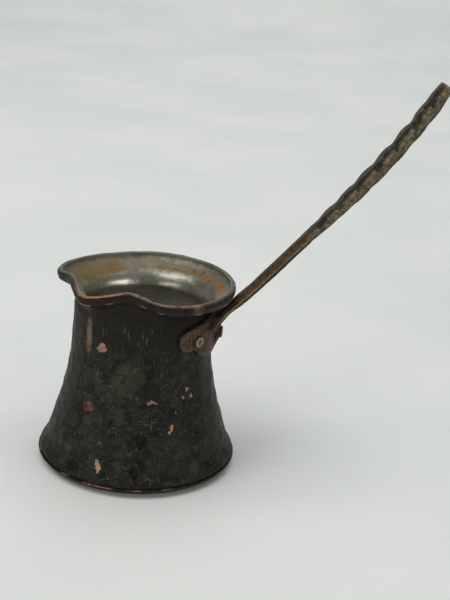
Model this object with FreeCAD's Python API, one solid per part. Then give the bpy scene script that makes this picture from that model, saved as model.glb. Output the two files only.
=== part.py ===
import FreeCAD, Part
import math
import os

# Cezve, a small hammered copper coffee pot with a riveted long handle.
# Millimetres. Origin at the centre of the flat underside, +Z up, handle along +X.

# ---- driving dimensions -------------------------------------------------
AZ_COUNT = 96              # control columns round the pot
DISC_THICK = 1.5           # base disc sheet
DISC_FLAT_R = 39.3         # flat underside
FLANGE_TOP_Z = 3.6         # top of the turned-up flange on the base disc
FLANGE_OUT_R = 45.0
SEAM_TOP_R = 43.9          # pot wall radius where it enters the flange
SEAM_LOW_R = 41.4
WALL_IN_LOW_R = 40.2
LINING = 0.3               # tin coat
CREASE_Z = 81.0            # hammered crease under the rim band
CREASE_R = 39.6
NECK_TOP_Z = 73.6          # where the straight neck ends and the flare starts
RIM_Z = 85.45              # control height of the rim's top
RIM_R = 40.45

STRAP_R = 33.0             # outer radius of the strap
STRAP_TOP_Z = 73.3
STRAP_HALF_Y = 25.4
STRAP_SIDE_LOW_Z = 60.7
STRAP_NOTCH_Y = 19.8
STRAP_NOTCH_Z = 61.0
STRAP_LOW_Z = 54.2
KEEL_HALF_Y = 3.1
KEEL_X = 35.2

RIVET_ANGLE = 33.0         # side rivets, degrees from the handle
RIVET_SIDE_Z = 64.8
RIVET_MID_Z = 63.6
RIVET_SHANK_R = 1.6
RIVET_HEAD_R = 2.75
RIVET_HEAD_H = 0.95
RIVET_TAIL_R = 2.4
RIVET_TAIL_H = 0.55

# centreline of the handle bar, (x, z)
BAR_LINE = [(31.9, 68.1), (33.6, 70.0), (36.2, 72.7), (41.0, 77.7), (47.2, 84.4),
            (60.0, 99.5), (72.0, 114.0), (84.0, 128.4), (96.0, 143.6),
            (104.2, 155.0), (111.6, 166.4), (120.3, 180.6)]
GRIP_FROM = 64.4           # length along the bar where the scalloped grip begins
SCALLOP_PITCH = 11.46
ROOT_SPREAD = 8.5          # extra half width where the bar meets the strap
ROOT_LENGTH = 6.0
TIP_TAPER = 12.0

# pour spout: angles are taken clockwise-from-above positions on the rim,
# 0 at the side opposite the handle, growing towards the spout
SPOUT_ZERO = 189.0         # polar angle of that zero, degrees
# (angle, rim radius factor, rim rise)
SPOUT = [(-180, 1.0, 0.0), (-100, 1.0, 0.0), (-70, 0.998, -0.57), (-60, 1.002, -0.56),
         (-50, 1.007, -0.54), (-40, 1.013, -0.48), (-30, 1.018, -0.39), (-22, 1.018, -0.31),
         (-15, 1.006, -0.18), (-8, 0.974, 0.13), (0, 0.914, 0.97), (8, 0.856, 1.99),
         (17, 0.842, 2.38), (27, 0.866, 1.92), (37, 0.908, 0.92), (44, 0.942, 0.12),
         (50, 0.941, 0.14), (56, 0.909, 0.91), (62, 0.869, 1.83), (69, 0.83, 2.86),
         (76, 0.804, 3.71), (82, 0.811, 3.71), (90, 0.851, 2.77), (96, 0.899, 1.74),
         (105, 0.947, 0.91), (114, 0.987, 0.61), (126, 1.02, 0.5), (150, 1.01, 0.2), (180, 1.0, 0.0)]

# wall profile, (z, r)
OUTER = [(FLANGE_TOP_Z, SEAM_TOP_R), (4.1, 44.35), (4.9, 44.45), (6.3, 43.6), (8.6, 42.0),
         (11.0, 40.9), (15.0, 39.9), (20.0, 38.3), (26.0, 36.35), (32.0, 34.8),
         (40.0, 33.1), (48.0, 31.8), (56.0, 31.05), (62.0, 30.75), (67.0, 30.6), (71.0, 30.6),
         (NECK_TOP_Z, 30.6)]
FLARE = [(NECK_TOP_Z, 30.6), (74.8, 30.6), (76.9, 32.0), (78.7, 34.5), (80.0, 37.2),
         (CREASE_Z, CREASE_R)]
BAND = [(CREASE_Z, CREASE_R), (81.8, 40.25), (82.9, RIM_R), (83.8, RIM_R)]
TOP = [(83.8, RIM_R), (84.9, 40.3), (RIM_Z, 39.0), (84.9, 38.45)]
INNER = [(84.9, 38.45), (83.4, 38.1), (82.0, 36.8), (80.4, 34.5), (78.6, 32.2),
         (76.6, 30.5), (74.6, 29.5), (71.0, 29.2), (67.0, 29.2), (62.0, 29.35),
         (56.0, 29.65), (48.0, 30.4), (40.0, 31.7), (32.0, 33.4), (26.0, 34.95),
         (20.0, 36.9), (15.0, 38.4), (11.0, 39.4), (8.6, 40.4), (6.3, 41.8),
         (4.8, 42.3), (3.6, 42.1), (2.4, 41.2), (DISC_THICK, WALL_IN_LOW_R)]
# outside of the riveted strap, (z, r)
STRAP = [(50.0, 31.9), (52.5, 32.2), (55.5, 32.6), (58.0, 32.9), (61.0, STRAP_R),
         (64.0, STRAP_R), (67.0, STRAP_R), (71.0, STRAP_R), (NECK_TOP_Z, STRAP_R)]


def lerp_table(table, a):
    for i in range(len(table) - 1):
        a0, a1 = table[i][0], table[i + 1][0]
        if a0 <= a <= a1:
            t = (a - a0) / float(a1 - a0)
            t = t * t * (3 - 2 * t) * 0.35 + t * 0.65
            return [table[i][k] + (table[i + 1][k] - table[i][k]) * t for k in (1, 2)]
    return [1.0, 0.0]


def rim_shape(theta_deg):
    a = (theta_deg - SPOUT_ZERO + 180.0) % 360.0 - 180.0
    return lerp_table(SPOUT, a)


def weight(z):
    t = (z - NECK_TOP_Z) / (CREASE_Z - NECK_TOP_Z)
    t = max(0.0, min(1.0, t))
    return t * t * (3 - 2 * t)


H_STEP = 2 * math.pi / AZ_COUNT
POLE_K = 3.0 / (2.0 + math.cos(H_STEP))


def ring_row(z, r, dr=0.0):
    """One closed row of control points at height z and radius r."""
    row = []
    w = weight(z)
    for i in range(AZ_COUNT):
        th = i * H_STEP
        f, dz = rim_shape(math.degrees(th))
        rr = r + (f - 1.0) * RIM_R * w + dr
        zz = z + dz * w
        row.append(FreeCAD.Vector(rr * POLE_K * math.cos(th), rr * POLE_K * math.sin(th), zz))
    return row


def surface(rows):
    """Closed-round surface through rows of control points."""
    nv = len(rows)
    deg_v = min(3, nv - 1)
    vm = [deg_v + 1] + [1] * (nv - deg_v - 1) + [deg_v + 1]
    vk = [float(k) for k in range(len(vm))]
    um = [1] * (AZ_COUNT + 1)
    uk = [float(k) for k in range(AZ_COUNT + 1)]
    poles = [[rows[j][i] for j in range(nv)] for i in range(AZ_COUNT)]
    s = Part.BSplineSurface()
    s.buildFromPolesMultsKnots(poles, um, vm, uk, vk, True, False, 3, deg_v)
    return s


def sewn_solid(faces):
    shell = Part.makeShell(faces)
    shell.sewShape()
    sol = Part.makeSolid(shell)
    if sol.Volume < 0:
        sol.reverse()
    return sol


def profile_surface(profile, dr=0.0):
    return surface([ring_row(z, r, dr) for z, r in profile])


def disc_face(surf, last):
    u0, u1, v0, v1 = surf.bounds()
    edge = surf.vIso(v1 if last else v0).toShape()
    return Part.Face(Part.Wire([edge]))


# ---- pot wall -----------------------------------------------------------
s_outer = profile_surface(OUTER)
s_flare = profile_surface(FLARE)
s_band = profile_surface(BAND)
s_top = profile_surface(TOP)
s_inner = profile_surface(INNER)
s_under = profile_surface([(DISC_THICK, WALL_IN_LOW_R), (DISC_THICK, SEAM_LOW_R)])
s_cone = profile_surface([(DISC_THICK, SEAM_LOW_R), (FLANGE_TOP_Z, SEAM_TOP_R)])
wall = sewn_solid([s.toShape() for s in (s_outer, s_flare, s_band, s_top, s_inner, s_under, s_cone)])

# the same outside as a plug, used to seat the handle against it
plug = sewn_solid([s_outer.toShape(), disc_face(s_outer, False), disc_face(s_outer, True)])

# ---- tin lining ---------------------------------------------------------
IN_LINE = []
for i, (z, r) in enumerate(INNER[:-2]):
    zp, rp = INNER[max(i - 1, 0)]
    zn, rn = INNER[min(i + 1, len(INNER) - 1)]
    tz, tr = zn - zp, rn - rp
    n = math.hypot(tz, tr)
    # inward normal of a profile that runs downwards
    nz, nr = (-tr / n, tz / n) if i else (0.0, -1.0)
    IN_LINE.append((z - abs(nz) * LINING * (-1 if tr < 0 else 1), r - abs(nr) * LINING))
IN_LINE += [(2.6, 41.0), (DISC_THICK + LINING, 40.1)]
s_lin = profile_surface(IN_LINE)
s_lin_top = profile_surface([INNER[0], (INNER[0][0], INNER[0][1] - LINING)])
lining = sewn_solid([s_inner.toShape(), s_lin.toShape(), s_lin_top.toShape(),
                     disc_face(s_lin, True), disc_face(s_inner, True)])

# ---- base disc ----------------------------------------------------------
V = FreeCAD.Vector
p0, p1 = V(0, 0, 0), V(DISC_FLAT_R, 0, 0)
p2, p3 = V(42.456, 0, 0.769), V(FLANGE_OUT_R - 0.1, 0, 2.9)
p4, p5 = V(FLANGE_OUT_R, 0, FLANGE_TOP_Z), V(SEAM_TOP_R, 0, FLANGE_TOP_Z)
p6, p7 = V(SEAM_LOW_R, 0, DISC_THICK), V(0, 0, DISC_THICK)
edges = [Part.makeLine(p0, p1), Part.Arc(p1, p2, p3).toShape(), Part.makeLine(p3, p4),
         Part.makeLine(p4, p5), Part.makeLine(p5, p6), Part.makeLine(p6, p7), Part.makeLine(p7, p0)]
disc = Part.Face(Part.Wire(edges)).revolve(V(0, 0, 0), V(0, 0, 1), 360)

# ---- handle: strap, keel and forged bar ---------------------------------
s_strap = profile_surface(STRAP)
strap_ring = sewn_solid([s_strap.toShape(), disc_face(s_strap, False), disc_face(s_strap, True)])

half = [(24.6, 69.3), (25.3, 67.8), (STRAP_HALF_Y, 66.2), (25.1, 63.8),
        (24.2, 61.8), (22.9, 60.9), (21.3, STRAP_SIDE_LOW_Z), (STRAP_NOTCH_Y, STRAP_NOTCH_Z)]
lobe = [(STRAP_NOTCH_Y, STRAP_NOTCH_Z), (18.4, 59.7), (16.3, 57.6), (12.8, 55.9), (8.9, 55.0), (4.5, 54.4), (0.0, STRAP_LOW_Z)]
crown = [(24.6, 69.3), (23.4, 70.2), (21.0, 71.0), (18.4, 71.6), (15.0, 72.3), (10.5, 72.9), (5.0, 73.2)]


def spline_edge(pts):
    c = Part.BSplineCurve()
    c.interpolate([V(15.0, y, z) for y, z in pts])
    return c.toShape()


e_right = [spline_edge(half), spline_edge(lobe)]
e_left = [spline_edge([(-y, z) for y, z in half]), spline_edge([(-y, z) for y, z in lobe])]
e_top = spline_edge(crown + [(0.0, STRAP_TOP_Z)] + [(-y, z) for y, z in crown[::-1]])
outline = Part.Face(Part.Wire(Part.__sortEdges__(e_right + e_left + [e_top])))
strap = strap_ring.common(outline.extrude(V(30, 0, 0)))

keel_pts = [(30.0, 71.0), (34.0, 71.2), (35.15, 69.2), (KEEL_X, 66.5), (KEEL_X, 61.5), (34.3, 59.9), (33.4, 57.6), (32.5, 55.2), (30.0, 54.6)]
keel_wires = []
for y, inset in ((-KEEL_HALF_Y, 1.1), (-KEEL_HALF_Y + 0.7, 0.0), (KEEL_HALF_Y - 0.7, 0.0), (KEEL_HALF_Y, 1.1)):
    pts = [V(x - (inset if x > 31 else 0.0), y, z) for x, z in keel_pts]
    keel_wires.append(Part.makePolygon(pts + [pts[0]]))
keel = Part.makeLoft(keel_wires, True, True)


def bar_frame(dist):
    """Point and unit direction at a length along the bar line."""
    left = dist
    for i in range(len(BAR_LINE) - 1):
        (x0, z0), (x1, z1) = BAR_LINE[i], BAR_LINE[i + 1]
        seg = math.hypot(x1 - x0, z1 - z0)
        if left <= seg or i == len(BAR_LINE) - 2:
            t = left / seg
            lo, hi = max(i - 1, 0), min(i + 2, len(BAR_LINE) - 1)
            dx0 = (x1 - BAR_LINE[lo][0], z1 - BAR_LINE[lo][1])
            dx1 = (BAR_LINE[hi][0] - x0, BAR_LINE[hi][1] - z0)
            n0, n1 = math.hypot(*dx0), math.hypot(*dx1)
            tx = (1 - t) * dx0[0] / n0 + t * dx1[0] / n1
            tz = (1 - t) * dx0[1] / n0 + t * dx1[1] / n1
            n = math.hypot(tx, tz)
            return (x0 + (x1 - x0) * t, z0 + (z1 - z0) * t), (tx / n, tz / n)
        left -= seg


BAR_LEN = sum(math.hypot(BAR_LINE[i + 1][0] - BAR_LINE[i][0], BAR_LINE[i + 1][1] - BAR_LINE[i][1])
              for i in range(len(BAR_LINE) - 1))


def bar_section(dist):
    g = max(0.0, min(1.0, (dist - 40.0) / 45.0))
    g = g * g * (3 - 2 * g)
    k = max(0.0, min(1.0, (dist - 52.0) / 46.0))
    thick = 4.4 + 1.9 * k * k * (3 - 2 * k)
    top = 2.1 + 2.4 * g
    wide = 3.9 + 2.0 * g
    low = 2.4 + 1.9 * g
    s_hi = 0.2 + 1.0 * g
    s_lo = -0.9 - 0.6 * g
    up = thick / 2.0
    if dist > GRIP_FROM:
        ph = (dist - GRIP_FROM) / SCALLOP_PITCH
        c = 0.5 - 0.5 * math.cos(2 * math.pi * ph)
        up -= 0.6 * (1 - c)
        wide -= 0.45 * (1 - c)
        top -= 0.6 * (1 - c)
    dn = -thick / 2.0
    # fishtail where the bar spreads into the strap
    root = ROOT_SPREAD * math.exp(-(dist / ROOT_LENGTH) ** 2)
    top, wide, low = top + root, wide + root, low + root
    # the end of the bar is drawn down to a blunt tip
    if dist > BAR_LEN - TIP_TAPER:
        t = (dist - BAR_LEN + TIP_TAPER) / TIP_TAPER
        t = t * t * (3 - 2 * t) * 0.4 + t * 0.6
        dn += 1.2 * t
        s_lo += 0.7 * t
        s_hi -= 0.1 * t
        up -= 0.3 * t * t
        wide, top, low = wide * (1 - 0.16 * t), top * (1 - 0.16 * t), low * (1 - 0.16 * t)
    return [(-top, up), (top, up), (wide, s_hi), (wide, s_lo), (low, dn), (-low, dn), (-wide, s_lo), (-wide, s_hi)]


stations = [0.0, 2.5, 4.5, 6.5, 9.0, 13.0, 22.0, 34.0, 46.0, 55.0, GRIP_FROM]
d = GRIP_FROM
while d + SCALLOP_PITCH / 2.0 < BAR_LEN - 3.0:
    d += SCALLOP_PITCH / 4.0
    stations.append(d)
stations += [BAR_LEN - 2.6, BAR_LEN]
stations = sorted(set(round(s, 3) for s in stations if s <= BAR_LEN))
bar_wires = []
for s in stations:
    (cx, cz), (tx, tz) = bar_frame(s)
    pts = [V(cx - tz * v, u, cz + tx * v) for u, v in bar_section(s)]
    bar_wires.append(Part.makePolygon(pts + [pts[0]]))
bar = Part.makeLoft(bar_wires, True, True)

handle = strap.fuse(keel).fuse(bar).cut(plug).cut(wall)
handle = handle.removeSplitter()
if len(handle.Solids) > 1:
    handle = max(handle.Solids, key=lambda q: q.Volume)


# ---- rivets -------------------------------------------------------------
def rivet_parts(angle, z, face_r):
    """Shank, outer head blank and inner head blank, radial at the given angle."""
    shank = Part.makeCylinder(RIVET_SHANK_R, face_r + 0.4 - (28.9 - 0.3), V(28.6, 0, z), V(1, 0, 0))
    a, b = face_r + RIVET_HEAD_H, face_r + RIVET_HEAD_H * 0.55
    prof = [V(face_r - 1.2, 0, z), V(a - 0.28, 0, z), V(a - 0.2, 0, z + 0.55), V(a, 0, z + 1.15),
            V(a - 0.08, 0, z + 1.75), V(b, 0, z + RIVET_HEAD_R), V(face_r - 1.2, 0, z + RIVET_HEAD_R)]
    head = Part.Face(Part.makePolygon(prof + [prof[0]])).revolve(V(0, 0, z), V(1, 0, 0), 360)
    t = 28.95 - RIVET_TAIL_H
    prof = [V(30.0, 0, z), V(t, 0, z), V(t + 0.08, 0, z + 1.5), V(t + 0.4, 0, z + RIVET_TAIL_R), V(30.0, 0, z + RIVET_TAIL_R)]
    tail = Part.Face(Part.makePolygon(prof + [prof[0]])).revolve(V(0, 0, z), V(1, 0, 0), 360)
    out = []
    for s in (shank, head, tail):
        s.rotate(V(0, 0, 0), V(0, 0, 1), angle)
        out.append(s)
    return out


strap_face_r = STRAP_R
rivets = {}
specs = [("rivet_left", -RIVET_ANGLE, RIVET_SIDE_Z, strap_face_r),
         ("rivet_centre", 0.0, RIVET_MID_Z, KEEL_X),
         ("rivet_right", RIVET_ANGLE, RIVET_SIDE_Z, strap_face_r)]
blanks = [(n, rivet_parts(a, z, f)) for n, a, z, f in specs]
for n, (shank, head, tail) in blanks:
    reach = shank
    handle = handle.cut(reach)
    wall = wall.cut(reach)
    lining = lining.cut(reach)
for n, (shank, head, tail) in blanks:
    h = head.cut(handle).cut(wall)
    t = tail.cut(lining).cut(wall)
    # keep only what lies outside the strap and inside the lining
    h = max(h.Solids, key=lambda q: q.CenterOfMass.Length)
    t = min(t.Solids, key=lambda q: math.hypot(q.CenterOfMass.x, q.CenterOfMass.y))
    r = shank.fuse(h).fuse(t).removeSplitter()
    rivets[n] = max(r.Solids, key=lambda q: q.Volume)

nodes = {"body_wall": wall, "base_disc": disc, "tin_lining": lining, "handle": handle}
nodes.update(rivets)

os.makedirs("parts", exist_ok=True)
for name, shape in nodes.items():
    if len(shape.Solids) >= 1:
        shape = max(shape.Solids, key=lambda q: q.Volume)
    shape.exportStep("parts/" + name + ".step")
    bb = shape.BoundBox
    print("%-13s vol %9.1f valid %s solids %d  x %.1f..%.1f y %.1f..%.1f z %.1f..%.1f" % (
        name, shape.Volume, shape.isValid(), len(shape.Solids), bb.XMin, bb.XMax, bb.YMin, bb.YMax, bb.ZMin, bb.ZMax))
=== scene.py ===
import bpy, bmesh, math
import numpy as np
from mathutils import Matrix, Vector


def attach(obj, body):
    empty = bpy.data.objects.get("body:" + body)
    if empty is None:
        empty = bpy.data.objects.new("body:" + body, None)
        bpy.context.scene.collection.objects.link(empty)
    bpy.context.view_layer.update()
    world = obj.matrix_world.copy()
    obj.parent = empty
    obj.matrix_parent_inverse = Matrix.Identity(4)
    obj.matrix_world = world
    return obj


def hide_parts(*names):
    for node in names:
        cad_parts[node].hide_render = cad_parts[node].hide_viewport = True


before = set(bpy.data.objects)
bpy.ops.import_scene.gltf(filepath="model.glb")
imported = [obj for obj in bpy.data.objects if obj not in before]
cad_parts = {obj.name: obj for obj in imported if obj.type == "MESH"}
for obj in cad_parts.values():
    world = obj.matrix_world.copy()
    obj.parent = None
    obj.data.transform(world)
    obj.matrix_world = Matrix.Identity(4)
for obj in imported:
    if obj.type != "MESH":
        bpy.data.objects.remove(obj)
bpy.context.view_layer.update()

# Hammered copper cezve. Metres, Z up, handle along +X, origin at the centre of the underside.
# The shape tables below are in millimetres and repeat the CAD's own.

RIM_R, CREASE_Z, CREASE_R, NECK_TOP_Z, LINING = 40.45, 81.0, 39.6, 73.6, 0.3
SPOUT_ZERO = 189.0
SPOUT = np.array([(-180, 1.0, 0.0), (-100, 1.0, 0.0), (-70, 0.998, -0.57), (-60, 1.002, -0.56),
         (-50, 1.007, -0.54), (-40, 1.013, -0.48), (-30, 1.018, -0.39), (-22, 1.018, -0.31),
         (-15, 1.006, -0.18), (-8, 0.974, 0.13), (0, 0.914, 0.97), (8, 0.856, 1.99),
         (17, 0.842, 2.38), (27, 0.866, 1.92), (37, 0.908, 0.92), (44, 0.942, 0.12),
         (50, 0.941, 0.14), (56, 0.909, 0.91), (62, 0.869, 1.83), (69, 0.83, 2.86),
         (76, 0.804, 3.71), (82, 0.811, 3.71), (90, 0.851, 2.77), (96, 0.899, 1.74),
         (105, 0.947, 0.91), (114, 0.987, 0.61), (126, 1.02, 0.5), (150, 1.01, 0.2), (180, 1.0, 0.0)])
OUTER = [(3.6, 43.9), (4.1, 44.35), (4.9, 44.45), (6.3, 43.6), (8.6, 42.0),
         (11.0, 40.9), (15.0, 39.9), (20.0, 38.3), (26.0, 36.35), (32.0, 34.8),
         (40.0, 33.1), (48.0, 31.8), (56.0, 31.05), (62.0, 30.75), (67.0, 30.6), (71.0, 30.6),
         (NECK_TOP_Z, 30.6)]
FLARE = [(NECK_TOP_Z, 30.6), (74.8, 30.6), (76.9, 32.0), (78.7, 34.5), (80.0, 37.2),
         (CREASE_Z, CREASE_R)]
BAND = [(CREASE_Z, CREASE_R), (81.8, 40.25), (82.9, RIM_R), (83.8, RIM_R)]
TOP = [(83.8, RIM_R), (84.9, 40.3), (85.45, 39.0), (84.9, 38.45)]
INNER = [(84.9, 38.45), (83.4, 38.1), (82.0, 36.8), (80.4, 34.5), (78.6, 32.2),
         (76.6, 30.5), (74.6, 29.5), (71.0, 29.2), (67.0, 29.2), (62.0, 29.35),
         (56.0, 29.65), (48.0, 30.4), (40.0, 31.7), (32.0, 33.4), (26.0, 34.95),
         (20.0, 36.9), (15.0, 38.4), (11.0, 39.4), (8.6, 40.4), (6.3, 41.8),
         (4.8, 42.3), (3.6, 42.1), (2.4, 41.2), (1.5, 40.2)]
STRAP = [(50.0, 31.9), (52.5, 32.2), (55.5, 32.6), (58.0, 32.9), (61.0, 33.0),
         (64.0, 33.0), (67.0, 33.0), (71.0, 33.0), (NECK_TOP_Z, 33.0)]
IN_LINE = []
for i, (z, r) in enumerate(INNER[:-2]):
    zp, rp = INNER[max(i - 1, 0)]
    zn, rn = INNER[min(i + 1, len(INNER) - 1)]
    tz, tr = zn - zp, rn - rp
    n = math.hypot(tz, tr)
    nz, nr = (-tr / n, tz / n) if i else (0.0, -1.0)
    IN_LINE.append((z - abs(nz) * LINING * (-1 if tr < 0 else 1), r - abs(nr) * LINING))
IN_LINE += [(2.6, 41.0), (1.8, 40.1)]

BAR_LINE = [(31.9, 68.1), (33.6, 70.0), (36.2, 72.7), (41.0, 77.7), (47.2, 84.4),
            (60.0, 99.5), (72.0, 114.0), (84.0, 128.4), (96.0, 143.6),
            (104.2, 155.0), (111.6, 166.4), (120.3, 180.6)]


# ---------------------------------------------------------------- helpers
def bspline(ctrl, t, deg=3):
    """Clamped uniform B-spline through control rows (n, ...) at parameters t in 0..1."""
    c = np.asarray(ctrl, float)
    n = len(c)
    deg = min(deg, n - 1)
    kn = np.concatenate([np.zeros(deg), np.linspace(0, 1, n - deg + 1), np.ones(deg)])
    t = np.clip(np.asarray(t, float), 0, 1 - 1e-9)
    N = np.zeros((len(t), len(kn) - 1))
    for i in range(len(kn) - 1):
        N[:, i] = (t >= kn[i]) & (t < kn[i + 1])
    for d in range(1, deg + 1):
        M = np.zeros((len(t), len(kn) - 1 - d))
        for i in range(len(kn) - 1 - d):
            a, b = kn[i + d] - kn[i], kn[i + d + 1] - kn[i + 1]
            if a > 0:
                M[:, i] += (t - kn[i]) / a * N[:, i]
            if b > 0:
                M[:, i] += (kn[i + d + 1] - t) / b * N[:, i + 1]
        N = M
    return N[:, :n]


def even_params(ctrl, count):
    """Parameters spaced evenly by length along a (z, r) control line."""
    t = np.linspace(0, 1, 1500)
    p = bspline(ctrl, t) @ np.asarray(ctrl, float)
    s = np.concatenate([[0], np.cumsum(np.hypot(*np.diff(p, axis=0).T))])
    return np.interp(np.linspace(0, s[-1], count), s, t), s[-1]


def spout_shape(theta):
    a = (np.degrees(theta) - SPOUT_ZERO + 180.0) % 360.0 - 180.0
    idx = np.clip(np.searchsorted(SPOUT[:, 0], a, side="right") - 1, 0, len(SPOUT) - 2)
    a0, a1 = SPOUT[idx, 0], SPOUT[idx + 1, 0]
    t = (a - a0) / (a1 - a0)
    t = t * t * (3 - 2 * t) * 0.35 + t * 0.65
    f = SPOUT[idx, 1] + (SPOUT[idx + 1, 1] - SPOUT[idx, 1]) * t
    dz = SPOUT[idx, 2] + (SPOUT[idx + 1, 2] - SPOUT[idx, 2]) * t
    return f, dz


def circ_smooth(v, k):
    ker = np.exp(-0.5 * (np.arange(-3 * k, 3 * k + 1) / k) ** 2)
    ker /= ker.sum()
    return np.convolve(np.concatenate([v[-3 * k:], v, v[:3 * k]]), ker, "valid")


def rise(z):
    t = np.clip((np.asarray(z, float) - NECK_TOP_Z) / (CREASE_Z - NECK_TOP_Z), 0, 1)
    return t * t * (3 - 2 * t)


def ring_grid(ctrl, ts, theta):
    """(rows, columns) radius and height of a round surface with the spout in it."""
    f, dz = spout_shape(theta)
    k = max(1, int(len(theta) / 190))
    f, dz = circ_smooth(f, k), circ_smooth(dz, k)
    c = np.asarray(ctrl, float)
    w = rise(c[:, 0])
    rr = c[:, 1][:, None] + (f[None] - 1.0) * RIM_R * w[:, None]
    zz = c[:, 0][:, None] + dz[None] * w[:, None]
    N = bspline(ctrl, ts)
    return N @ rr, N @ zz


class Lattice:
    """Smooth repeatable 3-D value noise."""

    def __init__(self, seed, n=32):
        self.n = n
        self.v = np.random.default_rng(seed).uniform(-1, 1, (n, n, n))

    def __call__(self, p):
        p = np.asarray(p, float)
        i = np.floor(p).astype(int)
        f = p - i
        f = f * f * f * (f * (f * 6 - 15) + 10)
        out = np.zeros(len(p))
        n = self.n
        for a in (0, 1):
            for b in (0, 1):
                for c in (0, 1):
                    w = (f[:, 0] if a else 1 - f[:, 0]) * (f[:, 1] if b else 1 - f[:, 1]) * (f[:, 2] if c else 1 - f[:, 2])
                    out += w * self.v[(i[:, 0] + a) % n, (i[:, 1] + b) % n, (i[:, 2] + c) % n]
        return out

    def fbm(self, p, octaves=3):
        p = np.asarray(p, float)
        s, a, t = 0, 1.0, 0
        for _ in range(octaves):
            s = s + a * self(p)
            t += a
            p = p * 2.03 + 7.1
            a *= 0.5
        return s / t


NOISE = Lattice(11)
NOISE2 = Lattice(23)


def hammer(theta, s, radius, cell_u, cell_v, seed, depth=1.0, jitter=0.12, tilt=0.035, level=0.05, soft=0.012):
    """Planishing marks: rings of nearly flat facets. Returns (height mm, ridge 0..1, tone 0..1, middle 0..1) per point.
    theta and s are the angle and the length up the wall, radius the local radius."""
    r = np.random.default_rng(seed)
    smax = float(s.max())
    nrow = int(smax / cell_v) + 4
    ring_s = (np.arange(nrow) - 1.0) * cell_v
    ring_r = np.interp(ring_s, np.linspace(0, smax, 200),
                       [float(np.median(radius[np.abs(s - q) < smax / 60 + 1e-6])) if np.any(np.abs(s - q) < smax / 60 + 1e-6) else 33.0
                        for q in np.linspace(0, smax, 200)])
    ncol = np.maximum(8, np.round(2 * math.pi * ring_r / cell_u)).astype(int)
    big = ncol.max() + 2
    ph = r.uniform(0, 2 * math.pi, nrow)
    ju = r.normal(0, jitter, (nrow, big)).clip(-.3, .3)
    jv = r.normal(0, jitter, (nrow, big)).clip(-.3, .3)
    lv = r.normal(0, level, (nrow, big))
    ta = r.normal(0, tilt, (nrow, big))
    tb = r.normal(0, tilt, (nrow, big))
    tone = r.uniform(0, 1, (nrow, big))
    base = np.round(s / cell_v + 1.0).astype(int)
    H, T = [], []
    for dj in (-1, 0, 1):
        j = np.clip(base + dj, 0, nrow - 1)
        n = ncol[j]
        q = (theta - ph[j]) / (2 * math.pi) * n
        kb = np.round(q).astype(int)
        for dk in (-1, 0, 1):
            k = (kb + dk) % n
            u = (q - (kb + dk) - ju[j, k]) / n * 2 * math.pi * radius
            v = s - ring_s[j] - jv[j, k] * cell_v
            h = lv[j, k] + ta[j, k] * u + tb[j, k] * v + 0.019 * u * u + 0.015 * v * v
            H.append(h)
            T.append(tone[j, k])
    H, T = np.array(H), np.array(T)
    order = np.argsort(H, axis=0)
    h0 = np.take_along_axis(H, order[:1], 0)[0]
    h1 = np.take_along_axis(H, order[1:2], 0)[0]
    w = np.exp(-(H - h0) / soft)
    hs = -soft * np.log(w.sum(0)) + h0
    ridge = np.exp(-(h1 - h0) / 0.035)
    tn = (w * T).sum(0) / w.sum(0)
    mid = 1 - np.exp(-((h1 - h0) / 0.10) ** 2)
    return (hs - 0.17) * depth, ridge, tn, mid


def grid_faces(nr, nc, off=0, closed=True):
    i, j = np.meshgrid(np.arange(nr - 1), np.arange(nc if closed else nc - 1), indexing="ij")
    jn = (j + 1) % nc
    a = off + i * nc + j
    b = off + i * nc + jn
    c = off + (i + 1) * nc + jn
    d = off + (i + 1) * nc + j
    return np.stack([a, b, c, d], -1).reshape(-1, 4)


def make(name, verts_mm, faces, attrs=None, smooth=True):
    me = bpy.data.meshes.new(name)
    me.from_pydata((np.asarray(verts_mm, float) * 0.001).tolist(), [], [list(map(int, f)) for f in faces])
    me.validate()
    for k, v in (attrs or {}).items():
        at = me.attributes.new(k, "FLOAT", "POINT")
        at.data.foreach_set("value", np.asarray(v, np.float32))
    bm = bmesh.new()
    bm.from_mesh(me)
    bmesh.ops.recalc_face_normals(bm, faces=bm.faces)
    bm.to_mesh(me)
    bm.free()
    if smooth:
        me.polygons.foreach_set("use_smooth", [True] * len(me.polygons))
    ob = bpy.data.objects.new(name, me)
    bpy.context.collection.objects.link(ob)
    return ob


def polar(r, z, theta):
    return np.stack([r * np.cos(theta), r * np.sin(theta), z], -1)


# ---------------------------------------------------------------- pot wall
NC = 384
TH = np.linspace(0, 2 * math.pi, NC, endpoint=False)

rows_r, rows_z, tag, lens = [], [], [], []
run = 0.0
for label, ctrl, count in (("wall", OUTER, 162), ("flare", FLARE, 25), ("band", BAND, 10), ("top", TOP, 10), ("inner", INNER, 30)):
    ts, L = even_params(ctrl, count)
    r, z = ring_grid(ctrl, ts, TH)
    start = 0 if not rows_r else 1
    rows_r.append(r[start:])
    rows_z.append(z[start:])
    tag += [label] * (count - start)
    lens += list(run + np.linspace(0, L, count)[start:])
    run += L
R = np.concatenate(rows_r)
Z = np.concatenate(rows_z)
tag = np.array(tag)
S = np.array(lens)
NR = len(R)
th2 = np.broadcast_to(TH, R.shape)
s2 = np.broadcast_to(S[:, None], R.shape)

out_rows = np.isin(tag, ("wall", "flare"))
nout = int(out_rows.sum())
h, ridge, tone, middle = hammer(th2[:nout].ravel(), s2[:nout].ravel(), R[:nout].ravel(), 4.55, 5.2, 5)
h = h.reshape(nout, NC)
ridge = ridge.reshape(nout, NC)
tone = tone.reshape(nout, NC)
middle = middle.reshape(nout, NC)
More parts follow.
